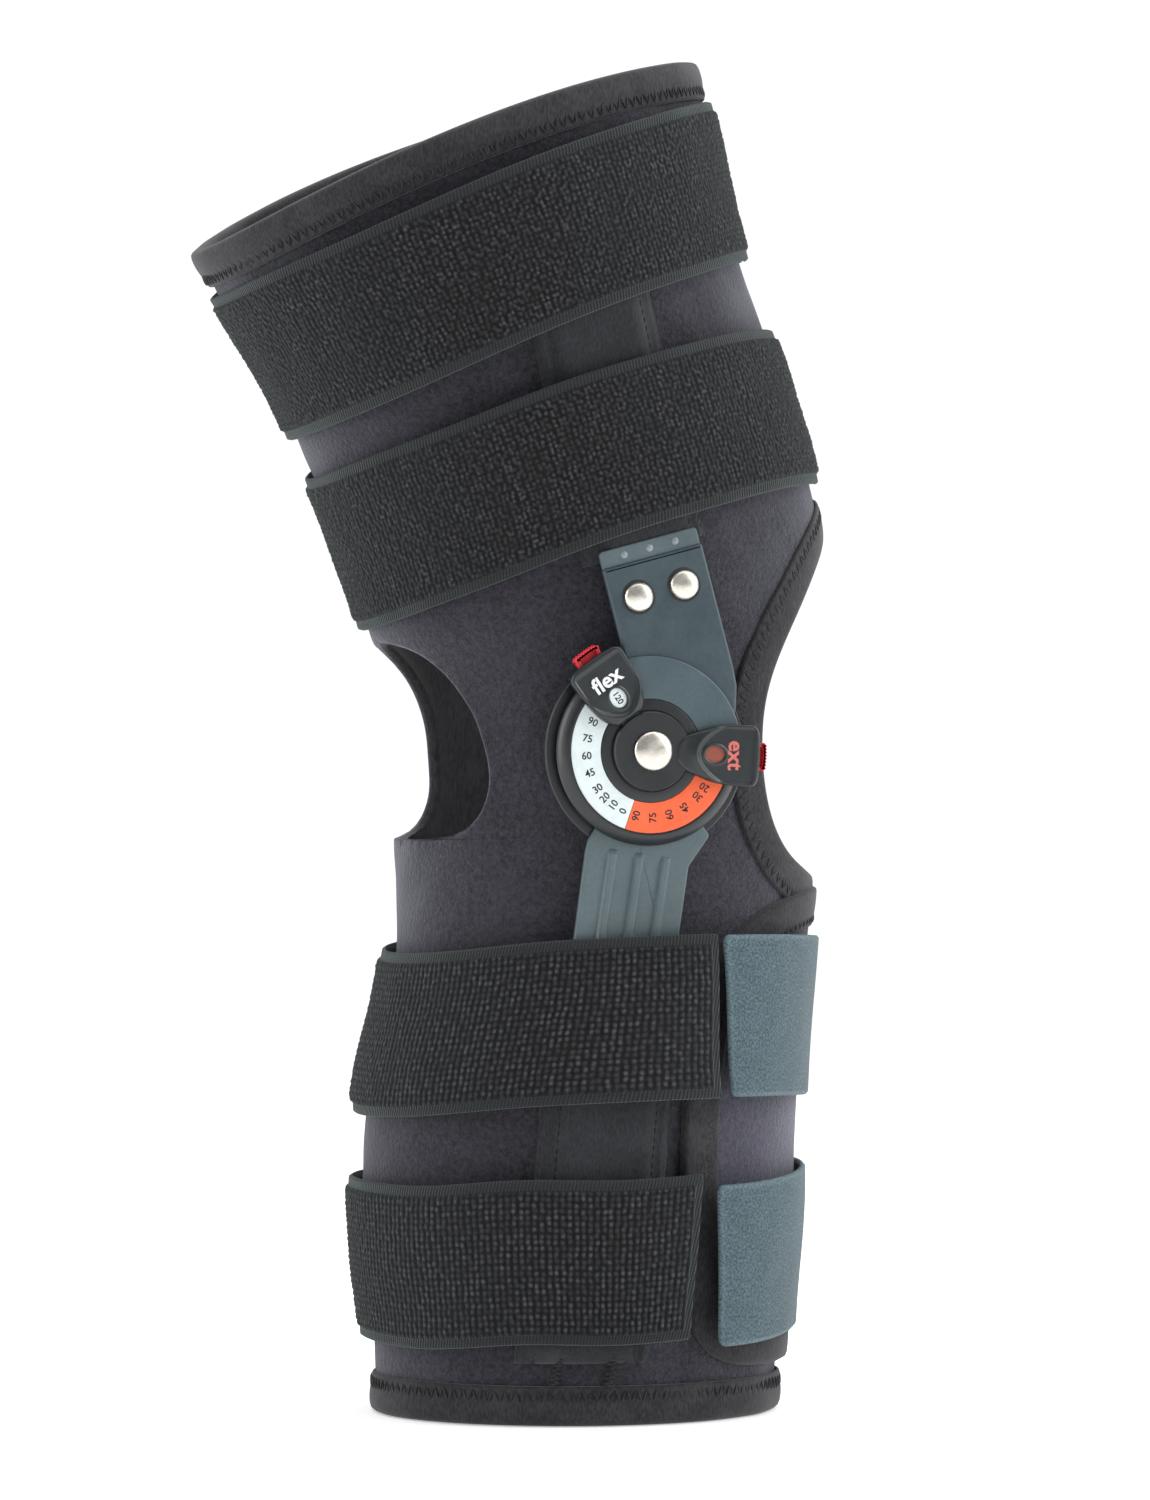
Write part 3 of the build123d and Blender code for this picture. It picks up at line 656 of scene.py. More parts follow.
FLEECE = fleece_material("fleece", (0.0125, 0.0122, 0.0158), (0.0430, 0.0422, 0.0535), 0.46)
# a lighter, more purple copy of the wrap's fleece for the front flap: painted light where the front faces the
# light
FLAP_FLEECE_PAINTED_LIGHT = fleece_material("flap_fleece_painted_light", (0.024, 0.0235, 0.033), (0.064, 0.062, 0.086), 0.6)
FOAM = knit_material("foam_edge", (0.010, 0.010, 0.011), (0.026, 0.026, 0.028), 1400.0, 0.0002)
LINING = knit_material("lining", (0.012, 0.012, 0.014), (0.030, 0.030, 0.034), 900.0, 0.0003)
TAPE = knit_material("binding_tape", (0.0140, 0.0140, 0.0165), (0.0350, 0.0350, 0.0400), 1300.0, 0.00018)
POCKET = knit_material("pocket_knit", (0.0145, 0.0155, 0.0180), (0.0285, 0.0300, 0.0345), 1500.0, 0.00014)
THREAD = knit_material("thread", (0.010, 0.010, 0.011), (0.035, 0.036, 0.039), 2500.0, 0.0001)
PILE = pile_material()
SELVEDGE = selvedge_material()
HOOK = hook_material()
ARM_DARK = painted_material("arm_paint", (0.029, 0.049, 0.060), (0.042, 0.067, 0.079), 0.36)
ARM_LIGHT = painted_material("lower_arm_paint", (0.066, 0.096, 0.107), (0.088, 0.122, 0.134))
SECTOR_PAINT = painted_material("sector_paint", (0.044, 0.072, 0.085), (0.060, 0.094, 0.108), 0.36)
PIN_PAINT = painted_material("pin_paint", (0.17, 0.21, 0.23), (0.22, 0.26, 0.28), 0.3)
DIAL_BLACK = painted_material("dial_plastic", (0.0085, 0.0110, 0.0125), (0.0145, 0.0180, 0.0200), 0.32, 0.07)
KNOB_BLACK = painted_material("knob_plastic", (0.0095, 0.0128, 0.0148), (0.0160, 0.0208, 0.0232), 0.30, 0.07)
WHITE_PRINT = painted_material("print_white", (0.60, 0.68, 0.69), (0.70, 0.77, 0.78), 0.45)
ORANGE_PRINT = painted_material("print_orange", (0.78, 0.105, 0.030), (0.90, 0.135, 0.042), 0.45)
INK = painted_material("ink", (0.004, 0.004, 0.005), (0.008, 0.008, 0.009), 0.5)
WHITE_INK = painted_material("ink_white", (0.70, 0.72, 0.73), (0.80, 0.82, 0.83), 0.5)
RED_INK = painted_material("ink_red", (0.50, 0.115, 0.095), (0.58, 0.140, 0.118), 0.5)
# the orange scale seen down the extension knob's window, painted dark red: painted shade inside the hole
PAINTED_SHADE_WINDOW = painted_material("window_painted_shade", (0.20, 0.045, 0.030), (0.28, 0.070, 0.045), 0.3)
BUTTON_RED = painted_material("button_red", (0.62, 0.022, 0.035), (0.74, 0.034, 0.050), 0.36)
NICKEL = metal_material("nickel", (0.60, 0.565, 0.50), (0.76, 0.73, 0.665), 0.27)
ALLOY = metal_material("stay_alloy", (0.055, 0.060, 0.066), (0.085, 0.090, 0.097), 0.35)
STEEL = metal_material("spring_steel", (0.50, 0.50, 0.49), (0.62, 0.62, 0.61), 0.22)


# ---------------------------------------------------------------- the wrap
EDGE_ROUND = 1.7


def opening_angles(rows, side_view, closed_angle):
    """The half ring's end angle at each row: the closed angle, or the opening's edge where it has one."""
    t, a = edge_on_leg(side_view)
    return np.interp(rows, t[::-1], a[::-1], left=closed_angle, right=closed_angle)


def rows_for(low, high, gap, *side_views):
    """Even rows, with closer ones where an opening's edge runs along them."""
    rows = list(np.arange(low, high, gap)) + [high]
    for side_view in side_views:
        t, _ = edge_on_leg(side_view)
        flat = np.abs(np.gradient(t)) < 0.75
        rows += list(t[flat]) + [t[0], t[-1]]
    rows = np.array(sorted(r for r in rows if low <= r <= high))
    keep = [rows[0]]
    for r in rows[1:]:
        if r - keep[-1] > 0.12:
            keep.append(r)
    return np.array(keep)


def half_columns(length, gap):
    """Places across a panel, from 0 to 1, closer together by both ends."""
    near = np.array([0, 0.3, 0.65, 1.05, 1.55, 2.2, 3.1]) / length
    middle = np.linspace(near[-1], 1 - near[-1], int((length - 6.2) / gap) + 1)[1:-1]
    return np.concatenate([near, middle, 1 - near[::-1]])


def hem_reach(rows, angle, low_t, high_t, flat_low, flat_high):
    """Moves the rows outside the flat range so that the first and last follow the hems."""
    t = np.broadcast_to(rows[:, None], angle.shape).copy()
    low, high = climb(*low_t, angle), climb(arched(*high_t[:2], angle), high_t[2], angle)
    below, above = t < flat_low, t > flat_high
    share = (flat_low - t) / (flat_low - rows[0])
    t = np.where(below, flat_low - share * (flat_low - low), t)
    share = (t - flat_high) / (rows[-1] - flat_high)
    return np.where(above, flat_high + share * (high - flat_high), t)


def make_sleeve():
    low, high = KNOTS[0] + 3, KNOTS[-1] - 10
    rows = rows_for(low, high, 2.1, PATELLA_EDGE, POPLITEAL_EDGE)
    front, back = opening_angles(rows, PATELLA_EDGE, 0.0), opening_angles(rows, POPLITEAL_EDGE, PI)
    u = half_columns(205.0, 1.75)
    half = front[:, None] + u[None] * (back - front)[:, None]
    t = hem_reach(rows, half, (BOTTOM_HEM, 0.0), (*TOP_HEM, TOP_LEAN), KNOTS[3], KNOTS[7])
    points = np.concatenate([leg(t, -half).reshape(-1, 3), leg(t, half).reshape(-1, 3)])
    faces = grid_faces(*t.shape)
    faces = np.concatenate([faces, faces[:, ::-1] + t.size])
    marks = [np.tile(t.ravel(), 2), np.concatenate([-half.ravel(), half.ravel()])]
    points, faces, (t, a) = merged(points, faces, marks)
    drop = round_off(from_border(points, border(faces), EDGE_ROUND), EDGE_ROUND)
    swell = 0.45 * wobble(points, 11, 60.0) + 0.2 * wobble(points, 12, 17.0) - 0.35
    edge_curl = np.exp(-from_border(points, border(faces), 14.0) / 4.0)
    swell = swell + 0.5 * edge_curl * wobble(points, 13, 40.0)
    outer = leg(t, a, swell - drop)
    inner = leg(t, a, swell - NEOPRENE + drop)
    return thick_sheet("wrap", outer, inner, faces, [FLEECE, LINING, FOAM])


# ---------------------------------------------------------------- bound edges
STITCH_PITCH, STITCH_WIDTH, STITCH_RADIUS = 3.4, 3.8, 0.24
SEAM_IN, SEAM_LIFT = 3.2, 1.25              # the thread: in from a tape's inner edge, off the leg


def wrapped_profile(width, thick, tape, puff):
    """Section of a tape folded over an edge: (distance in from the edge, lift), a closed loop."""
    turn = np.linspace(PI / 2, -PI / 2, 9)
    outside = [(width, 0.05), (width - 0.25, tape * 0.75)]
    outside += [(d, tape + puff * math.sin(PI * min(d / (width - 3.0), 1.0)) * (d < width - 3.0))
                for d in np.linspace(width - 1.0, 1.0, 15)]
    radius = thick / 2 + tape
    over = [(0.6 - 1.9 * math.cos(a), -thick / 2 + radius * math.sin(a)) for a in turn]
    inside = [(d, -thick - tape) for d in (2.0, 5.0, width - 2.0)] + [(width - 1.5, -thick - 0.02)]
    back = [(d, -thick - 0.02) for d in (5.0, 0.4)] + [(0.25, -thick / 2), (0.4, 0.02), (width * 0.5, 0.02)]
    return np.array(outside + over + inside + back)


def bound(name, rows, seam):
    """A tape from its rows of points, and the zigzag thread along its seam."""
    tape = ring_solid(name, rows, TAPE)
    return tape, zigzag(f"{name}_stitches", seam, outward(seam), STITCH_WIDTH, STITCH_PITCH, STITCH_RADIUS,
                        THREAD)


def hem_tape(name, height, rise, lean, inward):
    """Bound hem round one end of the wrap. inward is -1 below a top edge and 1 above a bottom one."""
    profile = wrapped_profile(HEM_WIDTH, NEOPRENE, 1.15, 0.45)
    angle = np.linspace(-PI, PI, 560, endpoint=False) + 2.1
    base = arched(height, rise, angle)
    s = np.arange(len(angle)) * 2 * PI * 68 / len(angle)
    rows = []
    for d, lift in profile:
        pull = (0.16 * np.exp(-((d - HEM_WIDTH + SEAM_IN) / 1.6) ** 2)
                * (1 + np.cos(2 * PI * s / STITCH_PITCH)))
        rows.append(leg(climb(base + inward * d, lean, angle), angle, lift - pull * (lift > 0.5)))
    rows = np.array(rows)
    rows = rows + 0.25 * wobble(rows, 21, 30.0)[..., None] * outward(rows)
    seam = leg(climb(base + inward * (HEM_WIDTH - SEAM_IN), lean, angle), angle, SEAM_LIFT)
    return bound(name, rows, seam)


def outward(p):
    """Unit directions out of the leg at points on or near it."""
    t, a = place(p)
    n = leg(t, a, 1.0) - leg(t, a, 0.0)
    return n / np.linalg.norm(n, axis=-1, keepdims=True)


def tape_round(name, side_view, profile, away, seam_lift=SEAM_LIFT):
    """Tape along a closed edge on the leg; away is 1 when its width lies outside the loop, -1 inside."""
    t, a = edge_on_leg(side_view, 1.3)
    t, a = np.concatenate([t, t[-2:0:-1]]), np.concatenate([-a, a[-2:0:-1]])
    for _ in range(6):                      # eases the two corners at the middle plane
        t, a = (0.5 * v + 0.25 * (np.roll(v, 1) + np.roll(v, -1)) for v in (t, a))
    line = leg(t, a)
    side = sideways(line, outward(line), True)
    if ((line - line.mean(0)) * side).sum(-1).mean() * away < 0:
        side = -side
    rows = [leg(*place(line + side * d), lift) for d, lift in profile]
    return bound(name, np.array(rows), leg(*place(line + side * (profile[:, 0].max() - SEAM_IN)), seam_lift))


# ---------------------------------------------------------------- slabs: straps, tabs, pockets
def slab(name, outer, inner, step, materials, outer_slots=None):
    """Closed solid from two grids of points, the inner one thinned out by the step."""
    rows, columns = outer.shape[:2]
    thin = inner[::step, ::step]
    offset = rows * columns
    small_columns = thin.shape[1]
    skin = grid_faces(rows, columns).tolist()
    lining = grid_faces(*thin.shape[:2], start=offset)[:, ::-1].tolist()
    ring = ([(0, c) for c in range(columns - 1)] + [(r, columns - 1) for r in range(rows - 1)]
            + [(rows - 1, c) for c in range(columns - 1, 0, -1)] + [(r, 0) for r in range(rows - 1, 0, -1)])
    rim = []
    for k in range(0, len(ring), step):
        run = [ring[(k + i) % len(ring)] for i in range(step + 1)]
        top = [r * columns + c for r, c in run]
        (r0, c0), (r1, c1) = run[0], run[-1]
        rim.append(top[::-1] + [offset + (r0 // step) * small_columns + c0 // step,
                                offset + (r1 // step) * small_columns + c1 // step])
    obj = new_mesh(name, np.concatenate([outer.reshape(-1, 3), thin.reshape(-1, 3)]), skin + lining + rim,
                   materials)
    if outer_slots is not None:
        slots = outer_slots.ravel().tolist() + [1] * (len(lining) + len(rim))
        obj.data.polygons.foreach_set("material_index", slots)
    fix_normals(obj)
    return obj


def loops(along, across, pitch, seed, jitter):
    """Height of terry loops, 0 to 1, at places in mm on a band."""
    rng = np.random.default_rng(seed)
    cu, cv = along / pitch[0], across / pitch[1]
    iu, iv = np.floor(cu).astype(int), np.floor(cv).astype(int)
    iu0, iv0 = iu.min() - 1, iv.min() - 1
    shape = (iu.max() - iu0 + 3, iv.max() - iv0 + 3)
    shift_u, shift_v = rng.uniform(-jitter, jitter, shape), rng.uniform(-jitter, jitter, shape)
    tall, tilt = rng.uniform(0.62, 1.0, shape), rng.uniform(-0.5, 0.5, shape) * (0.6 + jitter)
    best = np.zeros(along.shape)
    for du in (-1, 0, 1):
        for dv in (-1, 0, 1):
            u, v = iu + du, iv + dv
            k = (u - iu0, v - iv0)
            x, y = cu - (u + 0.5 + shift_u[k]), cv - (v + 0.5 + shift_v[k])
            x, y = x * np.cos(tilt[k]) + y * np.sin(tilt[k]), y * np.cos(tilt[k]) - x * np.sin(tilt[k])
            r2 = (x / 0.42) ** 2 + (y / 0.54) ** 2
            best = np.maximum(best, tall[k] * np.sqrt(np.clip(1 - r2, 0, 1)))
    return best


STRAP_WIDTH, STRAP_THICK = 49.5, 2.5
SELVEDGE_WIDTH = 3.3
PILE_PITCH = {"thigh": (1.62, 1.5), "shin": (2.02, 1.86)}
# name, cuff, lean, low edge at the front, rise at the side, strap's free end, tab's free end, tab's root,
# how far the tab's free end is pulled down, and how many degrees further forward the lower corners of the
# strap's and the tab's free ends sit
STRAPS = [
    ("upper_thigh", "thigh", 22.0, 123.2, 5.6, -10.0, -6.0, 62.0, 0.0, 0.0, 0.0),
    ("lower_thigh", "thigh", 18.2, 57.6, 6.4, -10.0, -6.0, 62.0, 0.0, 0.0, 0.0),
    ("upper_calf", "shin", SHIN_LEAN, -109.0, 4.0, -75.0, -73.4, 16.0, 0.0, 6.0, 7.2),
    ("lower_calf", "shin", SHIN_LEAN, -178.2, 1.0, -73.0, -69.0, 16.0, 3.6, -3.0, 1.5),
]
STRAP_LIFT = {"thigh": (0.5, 7.7), "shin": (2.4, 9.9)}


def band_point(strap, angle, across, lift):
    """Point on a strap's ring: angle round the leg, mm up its width, lift above its inner face."""
    name, cuff, lean, low, rise, *_ = strap
    height = arched(low, rise, angle) + across
    t = climb(height, lean, angle)
    front, side = STRAP_LIFT[cuff]
    return leg(t, angle, arched(front, side - front, angle) + lift)


def band_grid(strap, start, end, gap, slant, narrower, corners):
    """Even grid on a strap's ring from one angle to another. Gives the angles, and mm along, up from the
    middle, in from the long edges and in from the nearest edge. corners: their radii, lower and upper."""
    fine = np.radians(np.linspace(start, end, 1500))
    s = run_length(band_point(strap, fine, STRAP_WIDTH / 2, 0.0))
    along = np.linspace(0, s[-1], int(s[-1] / gap / 4) * 4 + 1)
    share = np.linspace(-1, 1, int(STRAP_WIDTH / gap / 4) * 4 + 1)[:, None]
    trim = np.where(share < 0, *(round_off(along, radius)[None] for radius in corners))
    half = STRAP_WIDTH / 2 - narrower - trim
    across = share * half
    from_side = half - np.abs(across)
    edge = np.minimum(np.minimum(from_side, along), (along[-1] - along)[None])
    turned_on = math.radians(slant) * (0.5 - share / 2) * smoothstep(50.0, 0.0, along)
    angle = np.interp(along, s, fine) + turned_on
    return angle, np.broadcast_to(along, across.shape), across, from_side, edge


def make_strap(strap, seed, jitter):
    """Pile strap, from its free end backward round the leg to the tab's root; jitter is how uneven it is."""
    name, cuff, _, _, _, free_end, _, root, _, slant, _ = strap
    angle, along, across, from_side, edge = band_grid(strap, free_end, root - 360, 0.43, slant, 0.0,
                                                      (1.2, 1.2))
    run = np.stack([along, 0 * along, 0 * along], -1)
    flat_at = np.stack([along, across, 0 * along], -1)
    pile = smoothstep(SELVEDGE_WIDTH - 0.5, SELVEDGE_WIDTH + 0.5, from_side) * smoothstep(2.6, 3.6, along)
    tip = loops(along, across + 0.35 * np.sin(along / 23.0), PILE_PITCH[cuff], seed, jitter) * pile
    tip = tip * (1 - jitter * 0.8 * (0.5 + 0.5 * wobble(flat_at, seed + 50, 9.0)))
    sway = 0.25 * wobble(flat_at, seed, 26.0)
    edge_wave = 0.35 * smoothstep(6.0, 0.0, from_side) * wobble(run, seed + 9, 31.0)
    ground = STRAP_THICK * (0.62 + 0.18 * pile) - round_off(edge, 0.8)
    where = STRAP_WIDTH / 2 + across + 0.45 * wobble(run, seed + 3, 55.0)
    outer = band_point(strap, angle, where, ground + 0.75 * tip + sway + edge_wave + 0.2)
    inner = band_point(strap, angle, where, sway * 0.6 + edge_wave + round_off(edge, 0.6))
    middle = (pile[:-1, :-1] + pile[1:, 1:]) / 2
    obj = slab(f"{name}_strap_pile", outer, inner, 4, [PILE, SELVEDGE], np.where(middle > 0.4, 0, 1))
    weave, thin = flat_at.reshape(-1, 3), flat_at[::4, ::4].reshape(-1, 3)
    set_vectors(obj, "weave", np.concatenate([weave, thin]))
    # the loop heights, which the pile material turns into a painted highlight on the tips and painted shade
    # between them
    set_values(obj, "tip", np.concatenate([tip.ravel(), np.zeros(len(thin))]))
    fit(obj, cuff, "strap_pile", f"{name}_strap")


def make_tab(strap, seed):
    """Hook tab, from its free end to its root on the strap's ring."""
    name, _, _, _, _, _, free_end, root, pull, _, slant = strap
    angle, along, across, _, edge = band_grid(strap, free_end, root, 0.8, slant, 0.3, (3.2, 1.8))
    length = along[0, -1]
    flat_at = np.stack([along, across, 0 * across], -1)
    sway = 0.12 * wobble(flat_at, seed, 30.0)
    where = STRAP_WIDTH / 2 + across - pull * smoothstep(length * 0.9, length * 0.1, along)
    outer = band_point(strap, angle, where, 2.3 - round_off(edge, 0.7) + sway)
    inner = band_point(strap, angle, where, 0.4 + round_off(edge, 0.4) + sway)
    obj = slab(f"{name}_tab", outer, inner, 1, HOOK)
    set_vectors(obj, "weave", np.concatenate([flat_at.reshape(-1, 3)] * 2))
    set_values(obj, "tip", np.tile(smoothstep(1.9, 0.9, edge).ravel(), 2))
    fit(obj, f"{name}_tab", "hook_tape", f"{name}_hook_tab")


# ---------------------------------------------------------------- stay pockets and the front flap
POCKET_WIDTH = 40.0
POCKET_SPAN = {"upper": (58.0, 176.5), "lower": (-184.5, -63.0)}
FLAP_THICK = 1.9


def stay_line(side, part, s, across):
    """The t and angle on the leg's surface beside a stay: s up the stay's line, across it forward, in mm."""
    if part == "upper":
        a = math.radians(ARM_ANGLE)
        p = ARM_MIDDLE + across
        x, z = p * math.cos(a) - s * math.sin(a), p * math.sin(a) + s * math.cos(a)
    else:
        x, z = BEND_X + (s - STAY_BEND) * math.sin(math.radians(STAY_LEAN)) + across, s
    t = level_of(x, z)
    forward, _, deep, _ = from_centre(x, z, t)
    return t, side * np.arccos(np.clip(forward / deep, -1, 1))


def make_pocket(side, part, cuff):
    """Knit cover sewn over a stay, with a raised fold along each long edge and two bar tacks."""
    (low, high), half = POCKET_SPAN[part], POCKET_WIDTH / 2
    s, across = np.meshgrid(np.linspace(low, high, int((high - low) / 1.3)), np.linspace(-half, half, 64),
                            indexing="ij")
    t, a = stay_line(side, part, s, across)
    in_from_side = half - np.abs(across)
    edge = np.minimum(np.minimum(in_from_side, s - low), high - s)
    flat_at = np.stack([s, across, 0 * s], -1)
    fold = 1.15 * np.exp(-((in_from_side - 2.6) / 1.1) ** 2)
    groove = 0.35 * np.exp(-((in_from_side - 5.2) / 0.8) ** 2)
    seed = 31 + 2 * side + (part == "upper")
    crease = 0.30 * wobble(flat_at, seed, 34.0) + 0.12 * wobble(flat_at, seed + 7, 9.0)
    skin = over_stays(leg(t, a, 0.75 + fold - groove + crease - round_off(edge, 0.7)), 1.0 + 0.4 * fold)
    where = f"{SIDE_NAMES[side]}_{part}"
    obj = slab(f"{where}_pocket", skin, over_stays(leg(t, a, 0.1 + crease * 0.2), 0.35), 1, POCKET)
    threads = []
    run = np.linspace(low + 2, high - 2, 100)
    for d in (1.3 - half, half - 1.3, 5.2 - half, half - 5.2):
        line = over_stays(leg(*stay_line(side, part, run, np.full(run.shape, d)), 0.78), 1.02)
        threads.append(running_stitch(f"{where}_stitch", line, 2.6, 0.17))
    threads.append(bar_tacks(side, part))
    fit(obj, cuff, "pocket_knit", f"{where}_stay_pocket")
    fit(join(threads, f"{where}_pocket_stitches"), cuff, "pocket_knit")


def running_stitch(name, line, pitch, radius):
    """Separate short stitches along a line, each bowed out of the cloth."""
    line = spaced(line, pitch / 6)
    up = outward(line)
    bow = np.sin(np.linspace(0, PI, 6))[:5, None] * radius * 1.6 - radius * 0.4
    groups = []
    for start in range(0, len(line) - 6, 6):
        rise = up[start:start + 5]
        groups.append(tube(f"{name}_{start}", line[start:start + 5] + rise * bow, rise, radius, THREAD))
    return join(groups, name)


def bar_tacks(side, part):
    """Two short dense zigzags that hold a pocket's free end and run a little way off it."""
    low, high = POCKET_SPAN[part]
    end, beyond, reach = (high, 1, 5.0) if part == "upper" else (low, -1, 9.5)
    run = np.linspace(-2.0, reach, 50)
    groups = []
    for across in (-8.0, 8.0):
        t, a = stay_line(side, part, end + beyond * run, np.full(run.shape, across))
        line = over_stays(leg(t, a, 0.65), 0.9)
        groups.append(zigzag("tack", line, outward(line), 3.0, 1.5, STITCH_RADIUS, THREAD, closed=False))
    return join(groups, "bar_tacks")


def make_flap():
    """Front closure of the shin wrap, which laps over it, with a bound edge all round."""
    edge_t, edge_a = edge_on_leg(FLAP_EDGE)
    rows = rows_for(edge_t.min() + 0.2, edge_t.max() - 0.2, 1.8, FLAP_EDGE)
    reach = np.interp(rows, edge_t[::-1], edge_a[::-1])
    near = np.array([0, 0.35, 0.8, 1.4, 2.2]) / 70
    share = np.concatenate([near - 1, np.linspace(near[-1] - 1, 1 - near[-1], 76)[1:-1], 1 - near[::-1]])
    a = share[None] * reach[:, None]
    t = np.broadcast_to(rows[:, None], a.shape)
    points = leg(t, a)
    faces = grid_faces(*a.shape)
    drop = round_off(from_border(points.reshape(-1, 3), border(faces), 1.2), 0.9).reshape(a.shape)
    swell = 0.25 * wobble(points, 41, 38.0)
    outer = leg(t, a, FLAP_THICK + swell - drop).reshape(-1, 3)
    inner = leg(t, a, 0.15 + swell * 0.4).reshape(-1, 3)
    # the flap's fleece is painted lighter than the wrap's: painted light on the front
    obj = thick_sheet("front_flap_cloth", outer, inner, faces, [FLAP_FLEECE_PAINTED_LIGHT, LINING, FOAM])
    profile = np.array([(11.6, FLAP_THICK - 0.1), (11.3, FLAP_THICK + 0.75)]
                       + [(d, FLAP_THICK + 0.9 + 0.3 * math.sin(PI * d / 11))
                          for d in np.linspace(10.6, 1.0, 10)]
                       + [(0.2, FLAP_THICK + 0.7), (-0.6, FLAP_THICK * 0.6), (-0.6, 0.5), (0.0, 0.12),
                          (0.5, 0.2), (0.6, FLAP_THICK - 0.1)])
    tape, thread = tape_round("flap_binding", FLAP_EDGE, profile, -1, FLAP_THICK + 1.0)
    fit(obj, "shin", "neoprene", "front_flap")
    for piece in (tape, thread):
        fit(piece, "shin", "binding_tape")


# ---------------------------------------------------------------- hinge
LOWER_ARM = (60.2, 62.4)
UPPER_ARM = (62.6, 65.0)
KNOB_LEVEL = (66.8, 69.7)
ARM_WIDTH, ARM_LENGTH, LIP = 32.0, 61.5, 5.2
ARM_RIVETS = ((8.65, 45.5), (23.35, 45.5))
FLEXION_ANGLE, EXTENSION_ANGLE = 124.6, 357.0
WHITE_SPAN, ORANGE_SPAN, PLAIN_SPAN = (112.2, 250.8), (251.2, 367.8), (8.2, 111.8)
LABEL_R = (15.6, 24.7)
NUMBER_SIZE, NUMBER_R, NUMBER_LEVEL = 3.15, 20.0, 66.31
WHITE_NUMBERS, WHITE_ZERO = (0, 10, 20, 30, 45, 60, 75, 90), 244.4
ORANGE_NUMBERS, ORANGE_ZERO = (90, 75, 60, 45, 30, 20), 347.0
SHARP_TURNED = 35                           # degrees between a lathed part's faces that show as an edge
KNOB_ROUND, SKIRT_LOW, BRIDGE_OUT, SPRING_FOOT = 0.9, 60.4, 29.7, 29.78
WORD_SIZE, WORD_R = 6.7, 25.5


def on_dial(angle, side, flat, level):
    """Points of a drawing in the hinge's plane, turned by an angle, at a distance out from the middle."""
    a = math.radians(angle)
    flat = np.asarray(flat, float)
    p, q = flat[..., 0], flat[..., 1]
    level = np.broadcast_to(level, p.shape)
    return np.stack([p * math.cos(a) - q * math.sin(a), side * level, p * math.sin(a) + q * math.cos(a)], -1)


def rounded(corners, steps=7):
    """Closed outline from (x, y, corner radius), anticlockwise."""
    points = []
    pts = [np.array(c[:2], float) for c in corners]
    for i, (x, y, radius) in enumerate(corners):
        here, before, after = pts[i], pts[i - 1], pts[(i + 1) % len(pts)]
        if radius <= 0:
            points.append(here)
            continue
        u, v = (before - here) / np.linalg.norm(before - here), (after - here) / np.linalg.norm(after - here)
        half = math.acos(np.clip(u @ v, -1, 1)) / 2
        reach = radius / math.tan(half)
        centre = here + (u + v) / np.linalg.norm(u + v) * radius / math.sin(half)
        start, end = here + u * reach - centre, here + v * reach - centre
        turn = math.acos(np.clip(start @ end / radius ** 2, -1, 1))
        for k in range(steps):
            f = k / (steps - 1)
            w = (math.sin((1 - f) * turn) * start + math.sin(f * turn) * end) / math.sin(turn)
            points.append(centre + w)
    return np.array(points)


def dense(outline, gap=0.9):
    """The same closed outline with no edge longer than the gap."""
    result = []
    for a, b in zip(outline, np.roll(outline, -1, 0)):
        n = max(1, int(np.ceil(np.linalg.norm(b - a) / gap)))
        result += [a + (b - a) * k / n for k in range(n)]
    return np.array(result)


def inset(outline, distance):
    """Outline moved inward along its corner directions."""
    e = np.roll(outline, -1, 0) - outline
    n = np.stack([-e[:, 1], e[:, 0]], -1) / (np.linalg.norm(e, axis=1, keepdims=True) + 1e-9)
    m = n + np.roll(n, 1, 0)
    m /= np.maximum((m * m).sum(1, keepdims=True) / 2, 0.35)
    return outline + m * distance


def plate(name, outline, low, high, bevel, material, angle, side):
    """Flat part with rounded upper edges."""
    outline = dense(outline)
    rings = [on_dial(angle, side, inset(outline, bevel * 0.5), low),
             on_dial(angle, side, outline, low + bevel * 0.5)]
    for f in np.linspace(0, PI / 2, 5):
        rings.append(on_dial(angle, side, inset(outline, bevel * (1 - math.cos(f))),
                             high - bevel + bevel * math.sin(f)))
    rings.append(on_dial(angle, side, inset(outline, bevel + 0.45), high))
    return sharpen(skinned(name, np.array(rings), material))


def lathed(profile, side, around=144, centre=(0, 0), angle=0.0):
    """Rings of points from (radius, level) pairs."""
    a = np.arange(around) * 2 * PI / around
    circle = np.stack([np.cos(a), np.sin(a)], -1)
    return np.array([on_dial(angle, side, centre + r * circle, level) for r, level in profile])


def turned(name, profile, material, side, *where):
    """Lathed part, closed at the axis."""
    return sharpen(skinned(name, lathed(profile, side, *where), material), SHARP_TURNED)


def turned_ring(name, profile, material, side, *where):
    """Lathed part with a bore; its profile closes on itself."""
    return sharpen(ring_solid(name, lathed(profile, side, *where), material), SHARP_TURNED)


def sector_plate(name, inner, outer, start, end, low, high, material, angle, side, bevel=0.12):
    """Plate shaped as part of a ring between two angles, with rounded upper edges."""
    middle = (inner + outer) / 2
    near = np.array([0, 0.3, 0.7, 1.0]) * bevel
    sweep = math.radians(end - start) * middle
    around = np.concatenate([near, np.linspace(bevel, sweep - bevel, max(6, int(sweep / 1.2)))[1:-1],
                             sweep - near[::-1]])
    across = np.concatenate([near, np.linspace(bevel, outer - inner - bevel, 6)[1:-1],
                             outer - inner - near[::-1]])
    grid_a, grid_r = np.meshgrid(around, across, indexing="ij")
    edge = np.minimum(np.minimum(grid_a, sweep - grid_a), np.minimum(grid_r, outer - inner - grid_r))
    turn = math.radians(start) + grid_a / middle
    flat = np.stack([(inner + grid_r) * np.cos(turn), (inner + grid_r) * np.sin(turn)], -1)
    top = on_dial(angle, side, flat, high - round_off(edge, bevel))
    return slab(name, top, on_dial(angle, side, flat, np.full(edge.shape, low)), 1, material)


